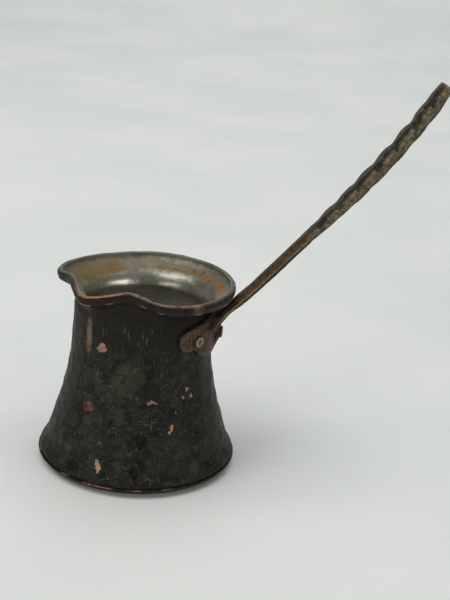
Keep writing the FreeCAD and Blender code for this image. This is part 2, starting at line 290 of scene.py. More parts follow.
# marks fade at the very bottom edge and at the crease under the rim
sm = S[:nout, None]
fade = np.clip(sm / 3.0, 0, 1) * np.clip((S[:nout].max() - sm) / 5.0, 0.15, 1)
P3 = polar(R, Z, th2).reshape(-1, 3)
lump = NOISE.fbm(P3 / 16.0, 3).reshape(NR, NC)
lump2 = NOISE2.fbm(P3 / 5.0, 2).reshape(NR, NC)
disp = np.zeros((NR, NC))
disp[:nout] = h * fade
disp[:nout] += 0.26 * lump[:nout] * np.clip(sm / 8.0, 0, 1) * np.clip((S[:nout].max() - sm) / 10.0, 0.2, 1)
disp[:nout] += 0.17 * np.clip(sm / 3.0, 0, 1)
# under the riveted strap the wall lies flat
azd = (np.degrees(th2[:nout]) + 180.0) % 360.0 - 180.0
under_strap = np.clip((57.0 - np.abs(azd)) / 4.0, 0, 1) * np.clip((Z[:nout] - 50.0) / 3.0, 0, 1) * np.clip((77.0 - Z[:nout]) / 2.0, 0, 1)
disp[:nout] = disp[:nout] * (1 - under_strap) + np.minimum(disp[:nout] * 0.5, -0.03) * under_strap
# profile normals give the direction of the marks
dR = np.gradient(R, axis=0)
dZ = np.gradient(Z, axis=0)
nn = np.hypot(dR, dZ) + 1e-9
NRr, NRz = dZ / nn, -dR / nn
# the rim band: small uneven hammering
bandrow = np.isin(tag, ("band", "top"))
disp[bandrow] += 0.10 * (lump2[bandrow] - 0.5)
R = R + NRr * disp
Z = Z + NRz * disp
# the rim's top edge waves slightly
edge_w = rise(Z) * np.isin(tag, ("band", "top", "flare", "inner"))[:, None]
wav = 0.16 * NOISE.fbm(np.stack([np.cos(TH) * 6, np.sin(TH) * 6, np.zeros(NC)], -1), 2)
Z = Z + edge_w * (wav - 0.12)[None]

V = polar(R, Z, th2).reshape(-1, 3)
F = list(grid_faces(NR, NC))
# close the ring at the bottom: inner end down to the cone and up to the wall's start
under = polar(np.full(NC, 41.35), np.full(NC, 1.52), TH)
V = np.concatenate([V, under])
u0 = NR * NC
last = (NR - 1) * NC
for j in range(NC):
    k = (j + 1) % NC
    F.append((last + j, last + k, u0 + k, u0 + j))
    F.append((u0 + j, u0 + k, k, j))
ridge_a = np.zeros((NR, NC))
tone_a = np.full((NR, NC), 0.5)
ridge_a[:nout] = ridge * np.clip(fade, 0, 1)
tone_a[:nout] = tone
mid_a = np.zeros((NR, NC))
mid_a[:nout] = middle * np.clip(fade, 0, 1)
rim_a = np.zeros((NR, NC))
for i, t in enumerate(tag):
    if t == "top":
        q = (S[i] - S[tag == "top"][0]) / (S[tag == "top"][-1] - S[tag == "top"][0])
        rim_a[i] = min(1.0, q / 0.35)
crease_a = np.zeros((NR, NC))
cs = S[tag == "flare"][-1]
crease_a[:] = np.exp(-((S - cs) / 0.55) ** 2)[:, None]
up_a = np.zeros((NR, NC))
up_a[:] = np.clip((S - S[tag == "flare"][0]) / (cs - S[tag == "flare"][0]), 0, 1)[:, None]
pad = lambda a: np.concatenate([a.ravel(), np.zeros(NC)])
wall = make("pot_wall", V, F, {"ridge": pad(ridge_a), "tone": pad(tone_a), "middle": pad(mid_a), "rim": pad(rim_a), "crease": pad(crease_a), "flare": pad(up_a)})

# ---------------------------------------------------------------- tin lining
NCL = 288
THL = np.linspace(0, 2 * math.pi, NCL, endpoint=False)
ts, L = even_params(IN_LINE, 150)
r, z = ring_grid(IN_LINE, ts, THL)
tl2 = np.broadcast_to(THL, r.shape)
sl = np.linspace(0, L, 150)
Pl = polar(r, z, tl2).reshape(-1, 3)
bump = 0.09 * NOISE.fbm(Pl / 7.0, 3).reshape(r.shape) + 0.05 * NOISE2.fbm(Pl / 2.6, 2).reshape(r.shape)
fadeL = np.clip(sl / 3.0, 0, 1)[:, None] * np.clip((L - sl) / 3.0, 0, 1)[:, None]
r = r - (0.10 + bump) * fadeL - 0.85 * np.exp(-((z - 71.2) / 3.7) ** 2)
wavL = 0.16 * NOISE.fbm(np.stack([np.cos(THL) * 6, np.sin(THL) * 6, np.zeros(NCL)], -1), 2)
z = z + rise(z) * (wavL - 0.12)[None]
Vi = polar(r, z, tl2).reshape(-1, 3)
# floor: rings in to the centre, gently uneven
floor_r = np.linspace(1, 0, 40)[1:-1]
rl = r[-1]
fl = []
for q in floor_r:
    rr = rl * q
    p = polar(rr, np.full(NCL, 1.8), THL)
    p[:, 2] += 0.10 + 0.10 * NOISE.fbm(p / 8.0, 2)
    fl.append(p)
fl = np.concatenate(fl)
V = np.concatenate([Vi, fl, [[0, 0, 1.9]]])
nrl = 150 + len(floor_r)
F = list(grid_faces(nrl, NCL))
c = len(V) - 1
for j in range(NCL):
    F.append(((nrl - 1) * NCL + j, (nrl - 1) * NCL + (j + 1) % NCL, c))
# back of the coat: close behind, so that the coat is a closed shell
ts, L2 = even_params(INNER, 40)
rb, zb = ring_grid(INNER, ts, THL)
rb = rb - 0.02
zb = zb + rise(zb) * (wavL - 0.12)[None]
zb[-1] = np.maximum(zb[-1], 1.52)
Vb = polar(rb, zb, np.broadcast_to(THL, rb.shape)).reshape(-1, 3)
ob0 = len(V)
V = np.concatenate([V, Vb, [[0, 0, 1.53]]])
F += list(grid_faces(40, NCL, ob0))
for j in range(NCL):
    k = (j + 1) % NCL
    F.append((j, k, ob0 + k, ob0 + j))
    F.append((ob0 + 39 * NCL + j, ob0 + 39 * NCL + k, len(V) - 1))
depth_a = np.zeros(len(V))
depth_a[:150 * NCL] = np.repeat(sl, NCL)
depth_a[150 * NCL:] = L
lining = make("tin_coat", V, F, {"depth": depth_a / 40.0})

# ---------------------------------------------------------------- base disc
def revolve_grid(profile, nc, extra=None):
    th = np.linspace(0, 2 * math.pi, nc, endpoint=False)
    pr = np.asarray(profile, float)
    r = np.repeat(pr[:, 0][:, None], nc, 1)
    z = np.repeat(pr[:, 1][:, None], nc, 1)
    if extra is not None:
        r, z = extra(r, z, th)
    return polar(r, z, np.broadcast_to(th, r.shape)).reshape(-1, 3), th


def round_profile(pts, step):
    out = []
    for (a, b), (c, d) in zip(pts[:-1], pts[1:]):
        n = max(1, int(math.hypot(c - a, d - b) / step))
        for k in range(n):
            out.append((a + (c - a) * k / n, b + (d - b) * k / n))
    out.append(pts[-1])
    return out


arc = [(39.3 + 6.857 * math.sin(q), 6.857 * (1 - math.cos(q))) for q in np.radians(np.linspace(0, 54.8, 10))] + [(44.97, 3.15), (45.0, 3.35)]
prof = round_profile([(1.0, 0.0), (39.3, 0.0)], 1.1)[:-1] + round_profile(arc, 0.35)[:-1] + \
    [(45.0, 3.35), (44.95, 3.5), (44.8, 3.58), (44.5, 3.6), (44.1, 3.6), (43.94, 3.58), (43.86, 3.5), (42.9, 2.7), (41.42, 1.5), (30.0, 1.5), (15.0, 1.5), (1.0, 1.5)]
nbase = len(prof)


def base_extra(r, z, th):
    p = polar(r, z, np.broadcast_to(th, r.shape)).reshape(-1, 3)
    n1 = NOISE.fbm(p / 9.0, 3).reshape(r.shape)
    n2 = NOISE2.fbm(p / 3.0, 2).reshape(r.shape)
    low = np.clip((1.45 - z) / 1.45, 0, 1)
    flat = np.clip((39.0 - r) / 3.0, 0, 1) * (z < 1.0)
    z = z + flat * (0.05 + 0.07 * (n1 + 0.5 * n2)).clip(0, 0.25)
    lip = np.exp(-((z - 3.5) / 0.35) ** 2) * (r > 43.95)
    r = r - (0.03 + 0.14 * np.abs(n2) + 0.10 * np.abs(n1)) * np.clip((r - 42.9) / 1.0, 0, 1) * (r > 43.95)
    z = z - lip * (0.08 + 0.26 * n2.clip(-0.3, 1))
    return r, z


V, thb = revolve_grid(prof, 320, base_extra)
F = list(grid_faces(nbase, 320))
V = np.concatenate([V, [[0, 0, 0.06], [0, 0, 1.5]]])
for j in range(320):
    k = (j + 1) % 320
    F.append((j, k, len(V) - 2))
    F.append(((nbase - 1) * 320 + j, (nbase - 1) * 320 + k, len(V) - 1))
zz = V[:, 2]
rr_ = np.hypot(V[:, 0], V[:, 1])
base = make("base_bottom", V, F, {"lip": np.exp(-((zz - 3.45) / 0.40) ** 2) * (rr_ > 43.9)})

# ---------------------------------------------------------------- handle
def wall_radius(z):
    c = np.asarray(OUTER, float)
    t = np.linspace(0, 1, 800)
    p = bspline(OUTER, t) @ c
    return np.interp(z, p[:, 0], p[:, 1])


BL = np.array(BAR_LINE)
seg = np.hypot(*np.diff(BL, axis=0).T)
cum = np.concatenate([[0], np.cumsum(seg)])
BAR_LEN = cum[-1]


def bar_frames(d):
    """Smooth centre line and directions at lengths d."""
    dd = np.linspace(0, BAR_LEN, 400)
    x = np.interp(dd, cum, BL[:, 0])
    z = np.interp(dd, cum, BL[:, 1])
    ker = np.exp(-0.5 * (np.arange(-18, 19) / 7.0) ** 2)
    ker /= ker.sum()
    def sm_(v):
        e = np.concatenate([2 * v[0] - v[18:0:-1], v, 2 * v[-1] - v[-2:-20:-1]])
        return np.convolve(e, ker, "valid")
    x, z = sm_(x), sm_(z)
    tx, tz = np.gradient(x, dd), np.gradient(z, dd)
    n = np.hypot(tx, tz)
    return [np.interp(d, dd, q) for q in (x, z, tx / n, tz / n)]


# the grip was worked with a cross peen: a row of notches across the upper face, the metal bulging between them
NOTCHES = [(64.4, 0.45), (75.9, 0.80), (87.0, 0.85), (98.8, 0.80), (110.5, 1.00), (122.3, 1.10), (133.0, 0.10)]
LOW_DENTS = [(58.5, 0.30, 1.5), (81.0, 0.28, 3.0), (92.5, 0.32, 3.0), (104.0, 0.36, 3.0), (116.0, 0.40, 3.2), (127.5, 0.40, 3.2)]


def bar_section(dist):
    g = min(max((dist - 40.0) / 45.0, 0), 1)
    g = g * g * (3 - 2 * g)
    k = min(max((dist - 52.0) / 46.0, 0), 1)
    thick = 4.5 + 2.15 * k * k * (3 - 2 * k)
    top, wide, low = 2.1 + 2.3 * g, 3.9 + 2.0 * g, 2.4 + 1.8 * g
    s_hi, s_lo = 0.1 + 0.7 * g, -0.9 - 0.75 * g
    up, dn = thick / 2.0, -thick / 2.0
    if dist > 55.0:
        ramp_in = min(1.0, (dist - 55.0) / 12.0)
        bulge = abs(math.sin(math.pi * (dist - 64.4) / 11.46)) ** 0.8
        up += ramp_in * (0.20 * bulge - 0.30) * (1.0 if dist < 124.0 else 0.75)
        for n0, amp in NOTCHES:
            q = (dist - n0) / (2.0 if dist < n0 else 3.0)
            cut = ramp_in * amp * math.exp(-q * q)
            up -= 0.50 * cut
            top -= 0.55 * cut
            wide -= 0.28 * cut
            s_hi -= 0.25 * cut
    dn += 0.55 * math.exp(-((dist - 8.0) / 6.0) ** 2)
    up -= 0.15 * math.exp(-((dist - 8.0) / 5.0) ** 2)
    for c0, dep, hw in LOW_DENTS:
        dn = dn + dep * math.exp(-((dist - c0) / hw) ** 2)
    root = 8.5 * math.exp(-(dist / 6.0) ** 2)
    top, wide, low = top + root, wide + root, low + root
    taper = 12.0
    if dist > BAR_LEN - taper:
        t = (dist - BAR_LEN + taper) / taper
        t = t * t * (3 - 2 * t) * 0.4 + t * 0.6
        dn += 1.2 * t
        s_lo += 0.7 * t
        s_hi -= 0.1 * t
        up -= 0.3 * t * t
        kk = 1 - 0.16 * t
        top, wide, low = top * kk, wide * kk, low * kk
    return [(-top, up), (-top * 0.5, up + 0.10), (0, up + 0.14), (top * 0.5, up + 0.10), (top, up), (wide, s_hi), (wide, s_lo), (low, dn), (0, dn - 0.05), (-low, dn), (-wide, s_lo), (-wide, s_hi)]


dist = np.concatenate([np.arange(0, BAR_LEN - 0.8, 0.6), [BAR_LEN - 0.5, BAR_LEN - 0.15]])
cx, cz, tx, tz = bar_frames(dist)
bm = bmesh.new()
prev = None
for i, dd in enumerate(dist):
    sec = bar_section(dd)
    if i == len(dist) - 1:
        sec = [(u * 0.9, v * 0.86) for u, v in sec]
    ring = [bm.verts.new(((cx[i] - tz[i] * v), u, (cz[i] + tx[i] * v))) for u, v in sec]
    if prev:
        for k in range(len(ring)):
            n_ = (k + 1) % len(ring)
            bm.faces.new((prev[k], prev[n_], ring[n_], ring[k]))
    else:
        bm.faces.new(ring)
    prev = ring
bm.faces.new(prev[::-1])

# strap: wraps the neck, with rounded side lobes and a deeper centre lobe
A_END = 50.3
low_tab = np.array([(0, 54.2), (7.8, 54.4), (15.7, 55.0), (22.8, 55.9), (27.0, 56.8), (30.0, 57.8), (32.5, 59.3), (34.6, 60.5), (36.6, 61.2), (38.5, 61.0), (41.0, 60.75), (44.0, 60.8), (47.0, 61.4), (48.6, 62.3), (49.8, 64.0), (50.3, 66.1)])
top_tab = np.array([(0, 73.35), (9, 73.2), (18.5, 72.9), (27, 72.3), (34, 71.6), (39.5, 71.0), (44.0, 70.4), (46.5, 69.7), (48.6, 68.8), (49.9, 67.5), (50.3, 66.3)])
strap_c = np.asarray(STRAP, float)
strap_p = bspline(STRAP, np.linspace(0, 1, 400)) @ strap_c


def strap_edges(a):
    q = abs(a)
    return float(np.interp(q, low_tab[:, 0], low_tab[:, 1])), float(np.interp(q, top_tab[:, 0], top_tab[:, 1]))


t_ = np.linspace(-1, 1, 241)
aa = A_END * (np.sin(t_ * math.pi / 2) * 0.35 + t_ * 0.65)
nz = 38
inner, outer = [], []
for a in aa:
    lo, hi = strap_edges(a)
    ra = math.radians(a)
    row_i, row_o = [], []
    q = abs(a)
    for k in range(nz):
        z = lo + (hi - lo) * k / (nz - 1)
        ri = float(wall_radius(z)) - 0.03
        ro = float(np.interp(z, strap_p[:, 0], strap_p[:, 1]))
        # upright flutes on the side lobes, uneven as filed by hand
        fl_ = 0.0
        arc_mm = (q - 36.8) * math.pi / 180 * 33
        if arc_mm > 0:
            for c0, dep, hw in ((1.0, 0.50, 0.55), (3.1, 0.40, 0.45), (5.2, 0.42, 0.45), (6.7, 0.25, 0.35)):
                lean = 0.05 * (z - 66.0)
                fl_ += dep * math.exp(-((arc_mm - c0 - lean) / hw) ** 2)
            fl_ *= min(1.0, arc_mm / 0.6) * min(1.0, max(0.0, (70.6 - z) / 1.5))
        edge = min(z - lo, hi - z, (A_END - q) * math.pi / 180 * 33 + 0.15)
        bev = 0.55 * math.exp(-max(edge, 0) / 0.5)
        ro = ro - fl_ - bev
        row_i.append(bm.verts.new((ri * math.cos(ra), ri * math.sin(ra), z)))
        row_o.append(bm.verts.new((ro * math.cos(ra), ro * math.sin(ra), z)))
    inner.append(row_i)
    outer.append(row_o)
for i in range(len(aa) - 1):
    for k in range(nz - 1):
        bm.faces.new((inner[i][k], inner[i][k + 1], inner[i + 1][k + 1], inner[i + 1][k]))
        bm.faces.new((outer[i][k], outer[i + 1][k], outer[i + 1][k + 1], outer[i][k + 1]))
    bm.faces.new((inner[i][0], inner[i + 1][0], outer[i + 1][0], outer[i][0]))
    bm.faces.new((inner[i][-1], outer[i][-1], outer[i + 1][-1], inner[i + 1][-1]))
for i in (0, -1):
    for k in range(nz - 1):
        bm.faces.new((inner[i][k], outer[i][k], outer[i][k + 1], inner[i][k + 1]))
# keel under the bar
keel = [(31.3, 71.4, 3.1), (34.0, 71.2, 3.2), (35.15, 69.2, 3.1), (35.2, 66.5, 3.0), (35.2, 61.5, 2.9), (34.3, 59.9, 2.6), (33.4, 57.6, 2.2), (32.5, 55.2, 1.5), (31.4, 54.8, 1.4)]
rings = []
for f, ins in ((-1.0, 1.0), (-0.75, 0.25), (-0.4, 0.0), (0.4, 0.0), (0.75, 0.25), (1.0, 1.0)):
    rings.append([bm.verts.new((x - (ins if x > 32 else 0), f * hy, z)) for x, z, hy in keel])
for a_, b_ in zip(rings[:-1], rings[1:]):
    for k in range(len(keel)):
        n_ = (k + 1) % len(keel)
        bm.faces.new((a_[k], a_[n_], b_[n_], b_[k]))
bm.faces.new(rings[0][::-1])
bm.faces.new(rings[-1])
bmesh.ops.recalc_face_normals(bm, faces=bm.faces)
for v in bm.verts:
    v.co *= 0.001
me = bpy.data.meshes.new("handle_raw")
bm.to_mesh(me)
bm.free()
raw = bpy.data.objects.new("handle_raw", me)
bpy.context.collection.objects.link(raw)
rm = raw.modifiers.new("weld", "REMESH")
rm.mode = "VOXEL"
rm.voxel_size = 0.00040
rm.adaptivity = 0.0
dg = bpy.context.evaluated_depsgraph_get()
me = bpy.data.meshes.new_from_object(raw.evaluated_get(dg))
bpy.data.objects.remove(raw)
me.name = "handle_forged"
handle = bpy.data.objects.new("handle_forged", me)
bpy.context.collection.objects.link(handle)
me.materials.clear()
nv = len(me.vertices)
co = np.zeros(nv * 3, np.float32)
me.vertices.foreach_get("co", co)
co = co.reshape(-1, 3).astype(float) * 1000.0
nm = np.zeros(nv * 3, np.float32)
me.vertices.foreach_get("normal", nm)
nm = nm.reshape(-1, 3).astype(float)
ed = np.zeros(len(me.edges) * 2, np.int32)
me.edges.foreach_get("vertices", ed)
ed = ed.reshape(-1, 2)
deg = np.bincount(ed.ravel(), minlength=nv)[:, None]


def relax(p, n, k=0.5):
    for _ in range(n):
        acc = np.zeros_like(p)
        np.add.at(acc, ed[:, 0], p[ed[:, 1]])
        np.add.at(acc, ed[:, 1], p[ed[:, 0]])
        p = p * (1 - k) + k * acc / deg
    return p


co = relax(co, 2, 0.5)
# fillet where the bar grows out of the strap
fr = np.clip((9.0 - np.linalg.norm((co - np.array([35.0, 0, 72.5])) * np.array([1, 0.62, 1]), axis=1)) / 4.0, 0, 1)[:, None]
wallr_ = np.hypot(co[:, 0], co[:, 1]) - wall_radius(np.clip(co[:, 2], 3.7, 73.5))
fr = fr * np.clip((wallr_[:, None] - 0.6) / 0.8, 0, 1)
co = co * (1 - fr) + relax(co, 26, 0.6) * fr
# curvature before the fine marks: crests are worn bright, hollows stay dark
lap = relax(co, 6, 0.5) - co
curv = -(lap * nm).sum(1)
# forging texture: soft dents all over, longer ones on the grip
ds = np.linspace(0, BAR_LEN, 700)
bx, bz, btx, btz = bar_frames(ds)
near = np.zeros(len(co), int)
for i0 in range(0, len(co), 8000):
    dd_ = (co[i0:i0 + 8000, None, 0] - bx) ** 2 + (co[i0:i0 + 8000, None, 2] - bz) ** 2
    near[i0:i0 + 8000] = dd_.argmin(1)
d_along = ds[near]
v_sec = -(co[:, 0] - bx[near]) * btz[near] + (co[:, 2] - bz[near]) * btx[near]
kk_ = np.clip((d_along - 52.0) / 46.0, 0, 1)
half = (4.5 + 2.15 * kk_ * kk_ * (3 - 2 * kk_)) / 2
v_rel = v_sec / half
dent = NOISE.fbm(co / np.array([4.2, 4.2, 4.2]), 2)
dent2 = NOISE2.fbm(co / 1.6, 2)
on_strap = (np.hypot(co[:, 0], co[:, 1]) < 33.8) & (co[:, 2] < 73.5)
amp = np.where(on_strap, 0.07, 0.16)
push = amp * (dent - 0.15) + 0.06 * dent2
# leave the face that touches the pot alone
touch = np.clip((np.hypot(co[:, 0], co[:, 1]) - wall_radius(np.clip(co[:, 2], 3.7, 73.5)) - 0.35) / 0.5, 0, 1)
touch = np.where(co[:, 2] > 74.5, 1.0, touch)
co = co + nm * (push * touch)[:, None]
me.vertices.foreach_set("co", (co * 0.001).ravel())
at = me.attributes.new("crest", "FLOAT", "POINT")
at.data.foreach_set("value", np.clip(curv / 0.10, -1, 1).astype(np.float32))
on_plate = np.clip((74.0 - co[:, 2]) / 2.0, 0, 1) * np.clip((36.0 - np.hypot(co[:, 0], co[:, 1])) / 1.5, 0, 1)
for nm_, val in (("along", d_along / BAR_LEN), ("sect", v_rel * (1 - on_plate)), ("tooth", ((d_along - 64.4) / 11.46) % 1.0), ("plate", on_plate)):
    at = me.attributes.new(nm_, "FLOAT", "POINT")
    at.data.foreach_set("value", np.asarray(val, np.float32))
me.polygons.foreach_set("use_smooth", [True] * len(me.polygons))
me.update()

# ---------------------------------------------------------------- rivets
def rivet(name, angle, zc, face_r, seed):
    """Worn domed head with a punched dimple, shank, and a peened head inside."""
    nc = 48
    th = np.linspace(0, 2 * math.pi, nc, endpoint=False)
    f = face_r
    prof = [(f - 0.55, 2.72), (f + 0.10, 2.80), (f + 0.42, 2.72), (f + 0.66, 2.5), (f + 0.82, 2.2), (f + 0.92, 1.85), (f + 0.94, 1.55), (f + 0.88, 1.3),
            (f + 0.76, 1.08), (f + 0.64, 0.85), (f + 0.58, 0.6), (f + 0.60, 0.3)]
    out = [(x, r_) for x, r_ in prof]
    shank = [(f - 0.55, 1.62), (28.9, 1.62)]
    tail = [(28.9, 2.3), (28.62, 2.35), (28.48, 2.1), (28.38, 1.6), (28.34, 1.0), (28.32, 0.4)]
    chain = out[::-1] + shank + tail
    pts = []
    for i, (x, r_) in enumerate(chain):
        for t in th:
            pts.append((x, r_ * math.cos(t), zc + r_ * math.sin(t)))
    pts = np.array(pts)
    off = seed * 13.7
    wob = NOISE.fbm((pts + off) / 1.9, 2)
    rad = np.hypot(pts[:, 1], pts[:, 2] - zc)
    head = pts[:, 0] > f - 0.2
    pts[:, 0] += np.where(head, 0.11 * wob, 0)
    sc = 1 + np.where(head, 0.05 * NOISE2(np.stack([pts[:, 1] * .35 + off, pts[:, 2] * .35, pts[:, 0] * 0], -1)), 0)
    pts[:, 1] *= sc
    pts[:, 2] = zc + (pts[:, 2] - zc) * sc
    n = len(chain)
    F = list(grid_faces(n, nc))
    V = np.concatenate([pts, [[f + 0.62, 0, zc], [28.31, 0, zc]]])
    for j in range(nc):
        k = (j + 1) % nc
        F.append((j, k, len(V) - 2))
        F.append(((n - 1) * nc + j, (n - 1) * nc + k, len(V) - 1))
    ra = math.radians(angle)
    c_, s_ = math.cos(ra), math.sin(ra)
    rr = np.hypot(V[:, 1], V[:, 2] - zc)
    V = np.stack([V[:, 0] * c_ - V[:, 1] * s_, V[:, 0] * s_ + V[:, 1] * c_, V[:, 2]], -1)
    ob = make(name, V, F, {"ring": rr / 2.75})
    sub = ob.modifiers.new("smooth", "SUBSURF")
    sub.levels = sub.render_levels = 1
    return ob


strap_face = 33.0
rivL = rivet("rivet_left_head", -33.0, 64.8, strap_face, 1)
rivC = rivet("rivet_centre_head", 0.0, 63.6, 35.2, 2)
rivR = rivet("rivet_right_head", 33.0, 64.8, strap_face, 3)


# ---------------------------------------------------------------- materials
def lin(r, g, b):
    f = lambda c: (c / 255.0 / 12.92) if c / 255.0 <= 0.04045 else ((c / 255.0 + 0.055) / 1.055) ** 2.4
    return (f(r), f(g), f(b), 1.0)


class Mat:
    def __init__(self, name):
        self.m = bpy.data.materials.new(name)
        self.m.use_nodes = True
        self.t = self.m.node_tree
        self.t.nodes.clear()
        self.out = self.t.nodes.new("ShaderNodeOutputMaterial")
        self.b = self.t.nodes.new("ShaderNodeBsdfPrincipled")
        self.t.links.new(self.b.outputs[0], self.out.inputs[0])
        tc = self.t.nodes.new("ShaderNodeTexCoord")
        mm = self.t.nodes.new("ShaderNodeVectorMath")
        mm.operation = "MULTIPLY"
        mm.inputs[1].default_value = (1000, 1000, 1000)
        self.link(tc.outputs["Object"], mm.inputs[0])
        self.P = mm.outputs[0]

    def link(self, a, b):
        self.t.links.new(a, b)

    def _in(self, sock, v):
        if hasattr(v, "links") or isinstance(v, bpy.types.NodeSocket):
            self.link(v, sock)
        else:
            sock.default_value = v

    def noise(self, scale, detail=3.0, rough=0.55, vec=None, dist=0.0, col=False):
        n = self.t.nodes.new("ShaderNodeTexNoise")
        n.inputs["Scale"].default_value = scale
        n.inputs["Detail"].default_value = detail
        n.inputs["Roughness"].default_value = rough
        n.inputs["Distortion"].default_value = dist
        self.link(vec or self.P, n.inputs["Vector"])
        return n.outputs["Color" if col else "Fac"]

    def voronoi(self, scale, feature="F1", vec=None, out="Distance", rnd=1.0):
        n = self.t.nodes.new("ShaderNodeTexVoronoi")
        n.feature = feature
        n.inputs["Scale"].default_value = scale
        n.inputs["Randomness"].default_value = rnd
        self.link(vec or self.P, n.inputs["Vector"])
        return n.outputs[out]

    def stretch(self, x, y, z, vec=None, off=(0, 0, 0)):
        n = self.t.nodes.new("ShaderNodeMapping")
        n.inputs["Scale"].default_value = (x, y, z)
        n.inputs["Location"].default_value = off
        self.link(vec or self.P, n.inputs["Vector"])
        return n.outputs[0]

    def attr(self, name):
        n = self.t.nodes.new("ShaderNodeAttribute")
        n.attribute_name = name
        return n.outputs["Fac"]

    def math(self, op, a, b=0.0, c=None, clamp=False):
        n = self.t.nodes.new("ShaderNodeMath")
        n.operation = op
        n.use_clamp = clamp
        self._in(n.inputs[0], a)
        self._in(n.inputs[1], b)
        if c is not None:
            self._in(n.inputs[2], c)
        return n.outputs[0]

    def ramp(self, v, a, b, lo=0.0, hi=1.0):
        n = self.t.nodes.new("ShaderNodeMapRange")
        n.interpolation_type = "SMOOTHSTEP"
        n.inputs["From Min"].default_value = a
        n.inputs["From Max"].default_value = b
        n.inputs["To Min"].default_value = lo
        n.inputs["To Max"].default_value = hi
        self.link(v, n.inputs["Value"])
        return n.outputs["Result"]

    def mix(self, f, a, b, mode="MIX"):
        n = self.t.nodes.new("ShaderNodeMix")
        n.data_type = "RGBA"
        n.blend_type = mode
        n.clamp_result = False
        self._in(n.inputs["Factor"], f)
        self._in(n.inputs["A"], a)
        self._in(n.inputs["B"], b)
        return n.outputs["Result"]

    def mixf(self, f, a, b):
        n = self.t.nodes.new("ShaderNodeMix")
        n.data_type = "FLOAT"
        self._in(n.inputs["Factor"], f)
        self._in(n.inputs["A"], a)
        self._in(n.inputs["B"], b)
        return n.outputs["Result"]

    def bump(self, h, strength, dist, prev=None):
        n = self.t.nodes.new("ShaderNodeBump")
        n.inputs["Strength"].default_value = strength
        n.inputs["Distance"].default_value = dist
        self.link(h, n.inputs["Height"])
        if prev is not None:
            self.link(prev, n.inputs["Normal"])
        return n.outputs[0]

    def sep(self, v=None):
        n = self.t.nodes.new("ShaderNodeSeparateXYZ")
        self.link(v or self.P, n.inputs[0])
        return n.outputs

    def warped(self, amp=2.2, scale=0.35, amp2=0.8, scale2=1.4):
        """Position (mm) shaken by two sizes of noise, for ragged patch outlines."""
        key = (amp, scale, amp2, scale2)
        if not hasattr(self, "_w"):
            self._w = {}
        if key in self._w:
            return self._w[key]
        cur = self.P
        for a, sc, off in ((amp, scale, 3.0), (amp2, scale2, 11.0)):
            n = self.t.nodes.new("ShaderNodeTexNoise")
            n.inputs["Scale"].default_value = sc
            n.inputs["Detail"].default_value = 3.0
            self.link(self.stretch(1, 1, 1, off=(off, off * 2, off * 3)), n.inputs["Vector"])
            sub = self.t.nodes.new("ShaderNodeVectorMath")
            sub.operation = "SUBTRACT"
            self.link(n.outputs["Color"], sub.inputs[0])
            sub.inputs[1].default_value = (0.5, 0.5, 0.5)
            ma = self.t.nodes.new("ShaderNodeVectorMath")
            ma.operation = "MULTIPLY_ADD"
            self.link(sub.outputs[0], ma.inputs[0])
            ma.inputs[1].default_value = (a * 2,) * 3
            self.link(cur, ma.inputs[2])
            cur = ma.outputs[0]
        self._w[key] = cur
        return cur

    def blob(self, centre, size, soft=0.25, vec=None):
        """A ragged patch: 1 inside an ellipsoid at centre (mm) of half sizes size (mm), 0 outside."""
        d = self.t.nodes.new("ShaderNodeVectorMath")
        d.operation = "SUBTRACT"
        self.link(vec or self.warped(), d.inputs[0])
        d.inputs[1].default_value = centre
        q = self.t.nodes.new("ShaderNodeVectorMath")
        q.operation = "DIVIDE"
        self.link(d.outputs[0], q.inputs[0])
        q.inputs[1].default_value = size
        ln = self.t.nodes.new("ShaderNodeVectorMath")
        ln.operation = "LENGTH"
        self.link(q.outputs[0], ln.inputs[0])
        return self.ramp(ln.outputs["Value"], 1.0 + soft, 1.0 - soft)

    def add_max(self, items):
        out = items[0]
        for i in items[1:]:
            out = self.math("MAXIMUM", out, i)
        return out

    def done(self, col, rough, metal, normal=None):
        self._in(self.b.inputs["Base Color"], col)
        self._in(self.b.inputs["Roughness"], rough)
        self._in(self.b.inputs["Metallic"], metal)
        if normal is not None:
            self.link(normal, self.b.inputs["Normal"])
        return self.m


def on_wall(theta_deg, z, d=0.0):
    """A point on the pot's outside, mm."""
    r = float(wall_radius(z)) + d
    t = math.radians(theta_deg)
    return (r * math.cos(t), r * math.sin(t), z)


# bare patches where the patina has chipped away: (polar angle, height, half width, half height)
CHIPS = [(246.2, 61.6, 2.1, 1.5), (243.2, 60.3, 1.2, 0.8), (240.5, 34.6, 2.5, 2.1), (237.6, 33.2, 1.0, 2.2), (289.0, 39.6, 2.3, 0.75),
         (303.4, 28.6, 1.2, 1.3), (301.6, 26.9, 0.8, 1.0), (256.1, 10.2, 1.25, 2.2), (254.6, 12.9, 0.6, 1.4), (318.4, 43.9, 0.35, 0.7), (313.4, 40.3, 0.6, 0.35), (321.2, 40.4, 0.3, 0.9), (307.5, 34.2, 0.40, 0.40),
         (60.0, 30.0, 1.5, 1.0), (128.0, 44.0, 0.8, 2.1), (160.0, 18.0, 2.4, 0.6), (22.0, 16.0, 0.8, 1.1), (100.0, 12.0, 1.3, 0.6), (200.0, 52.0, 0.8, 1.9), (82.0, 61.0, 1.7, 0.5), (64.0, 27.5, 0.5, 0.5), (125.0, 40.0, 0.5, 0.4)]
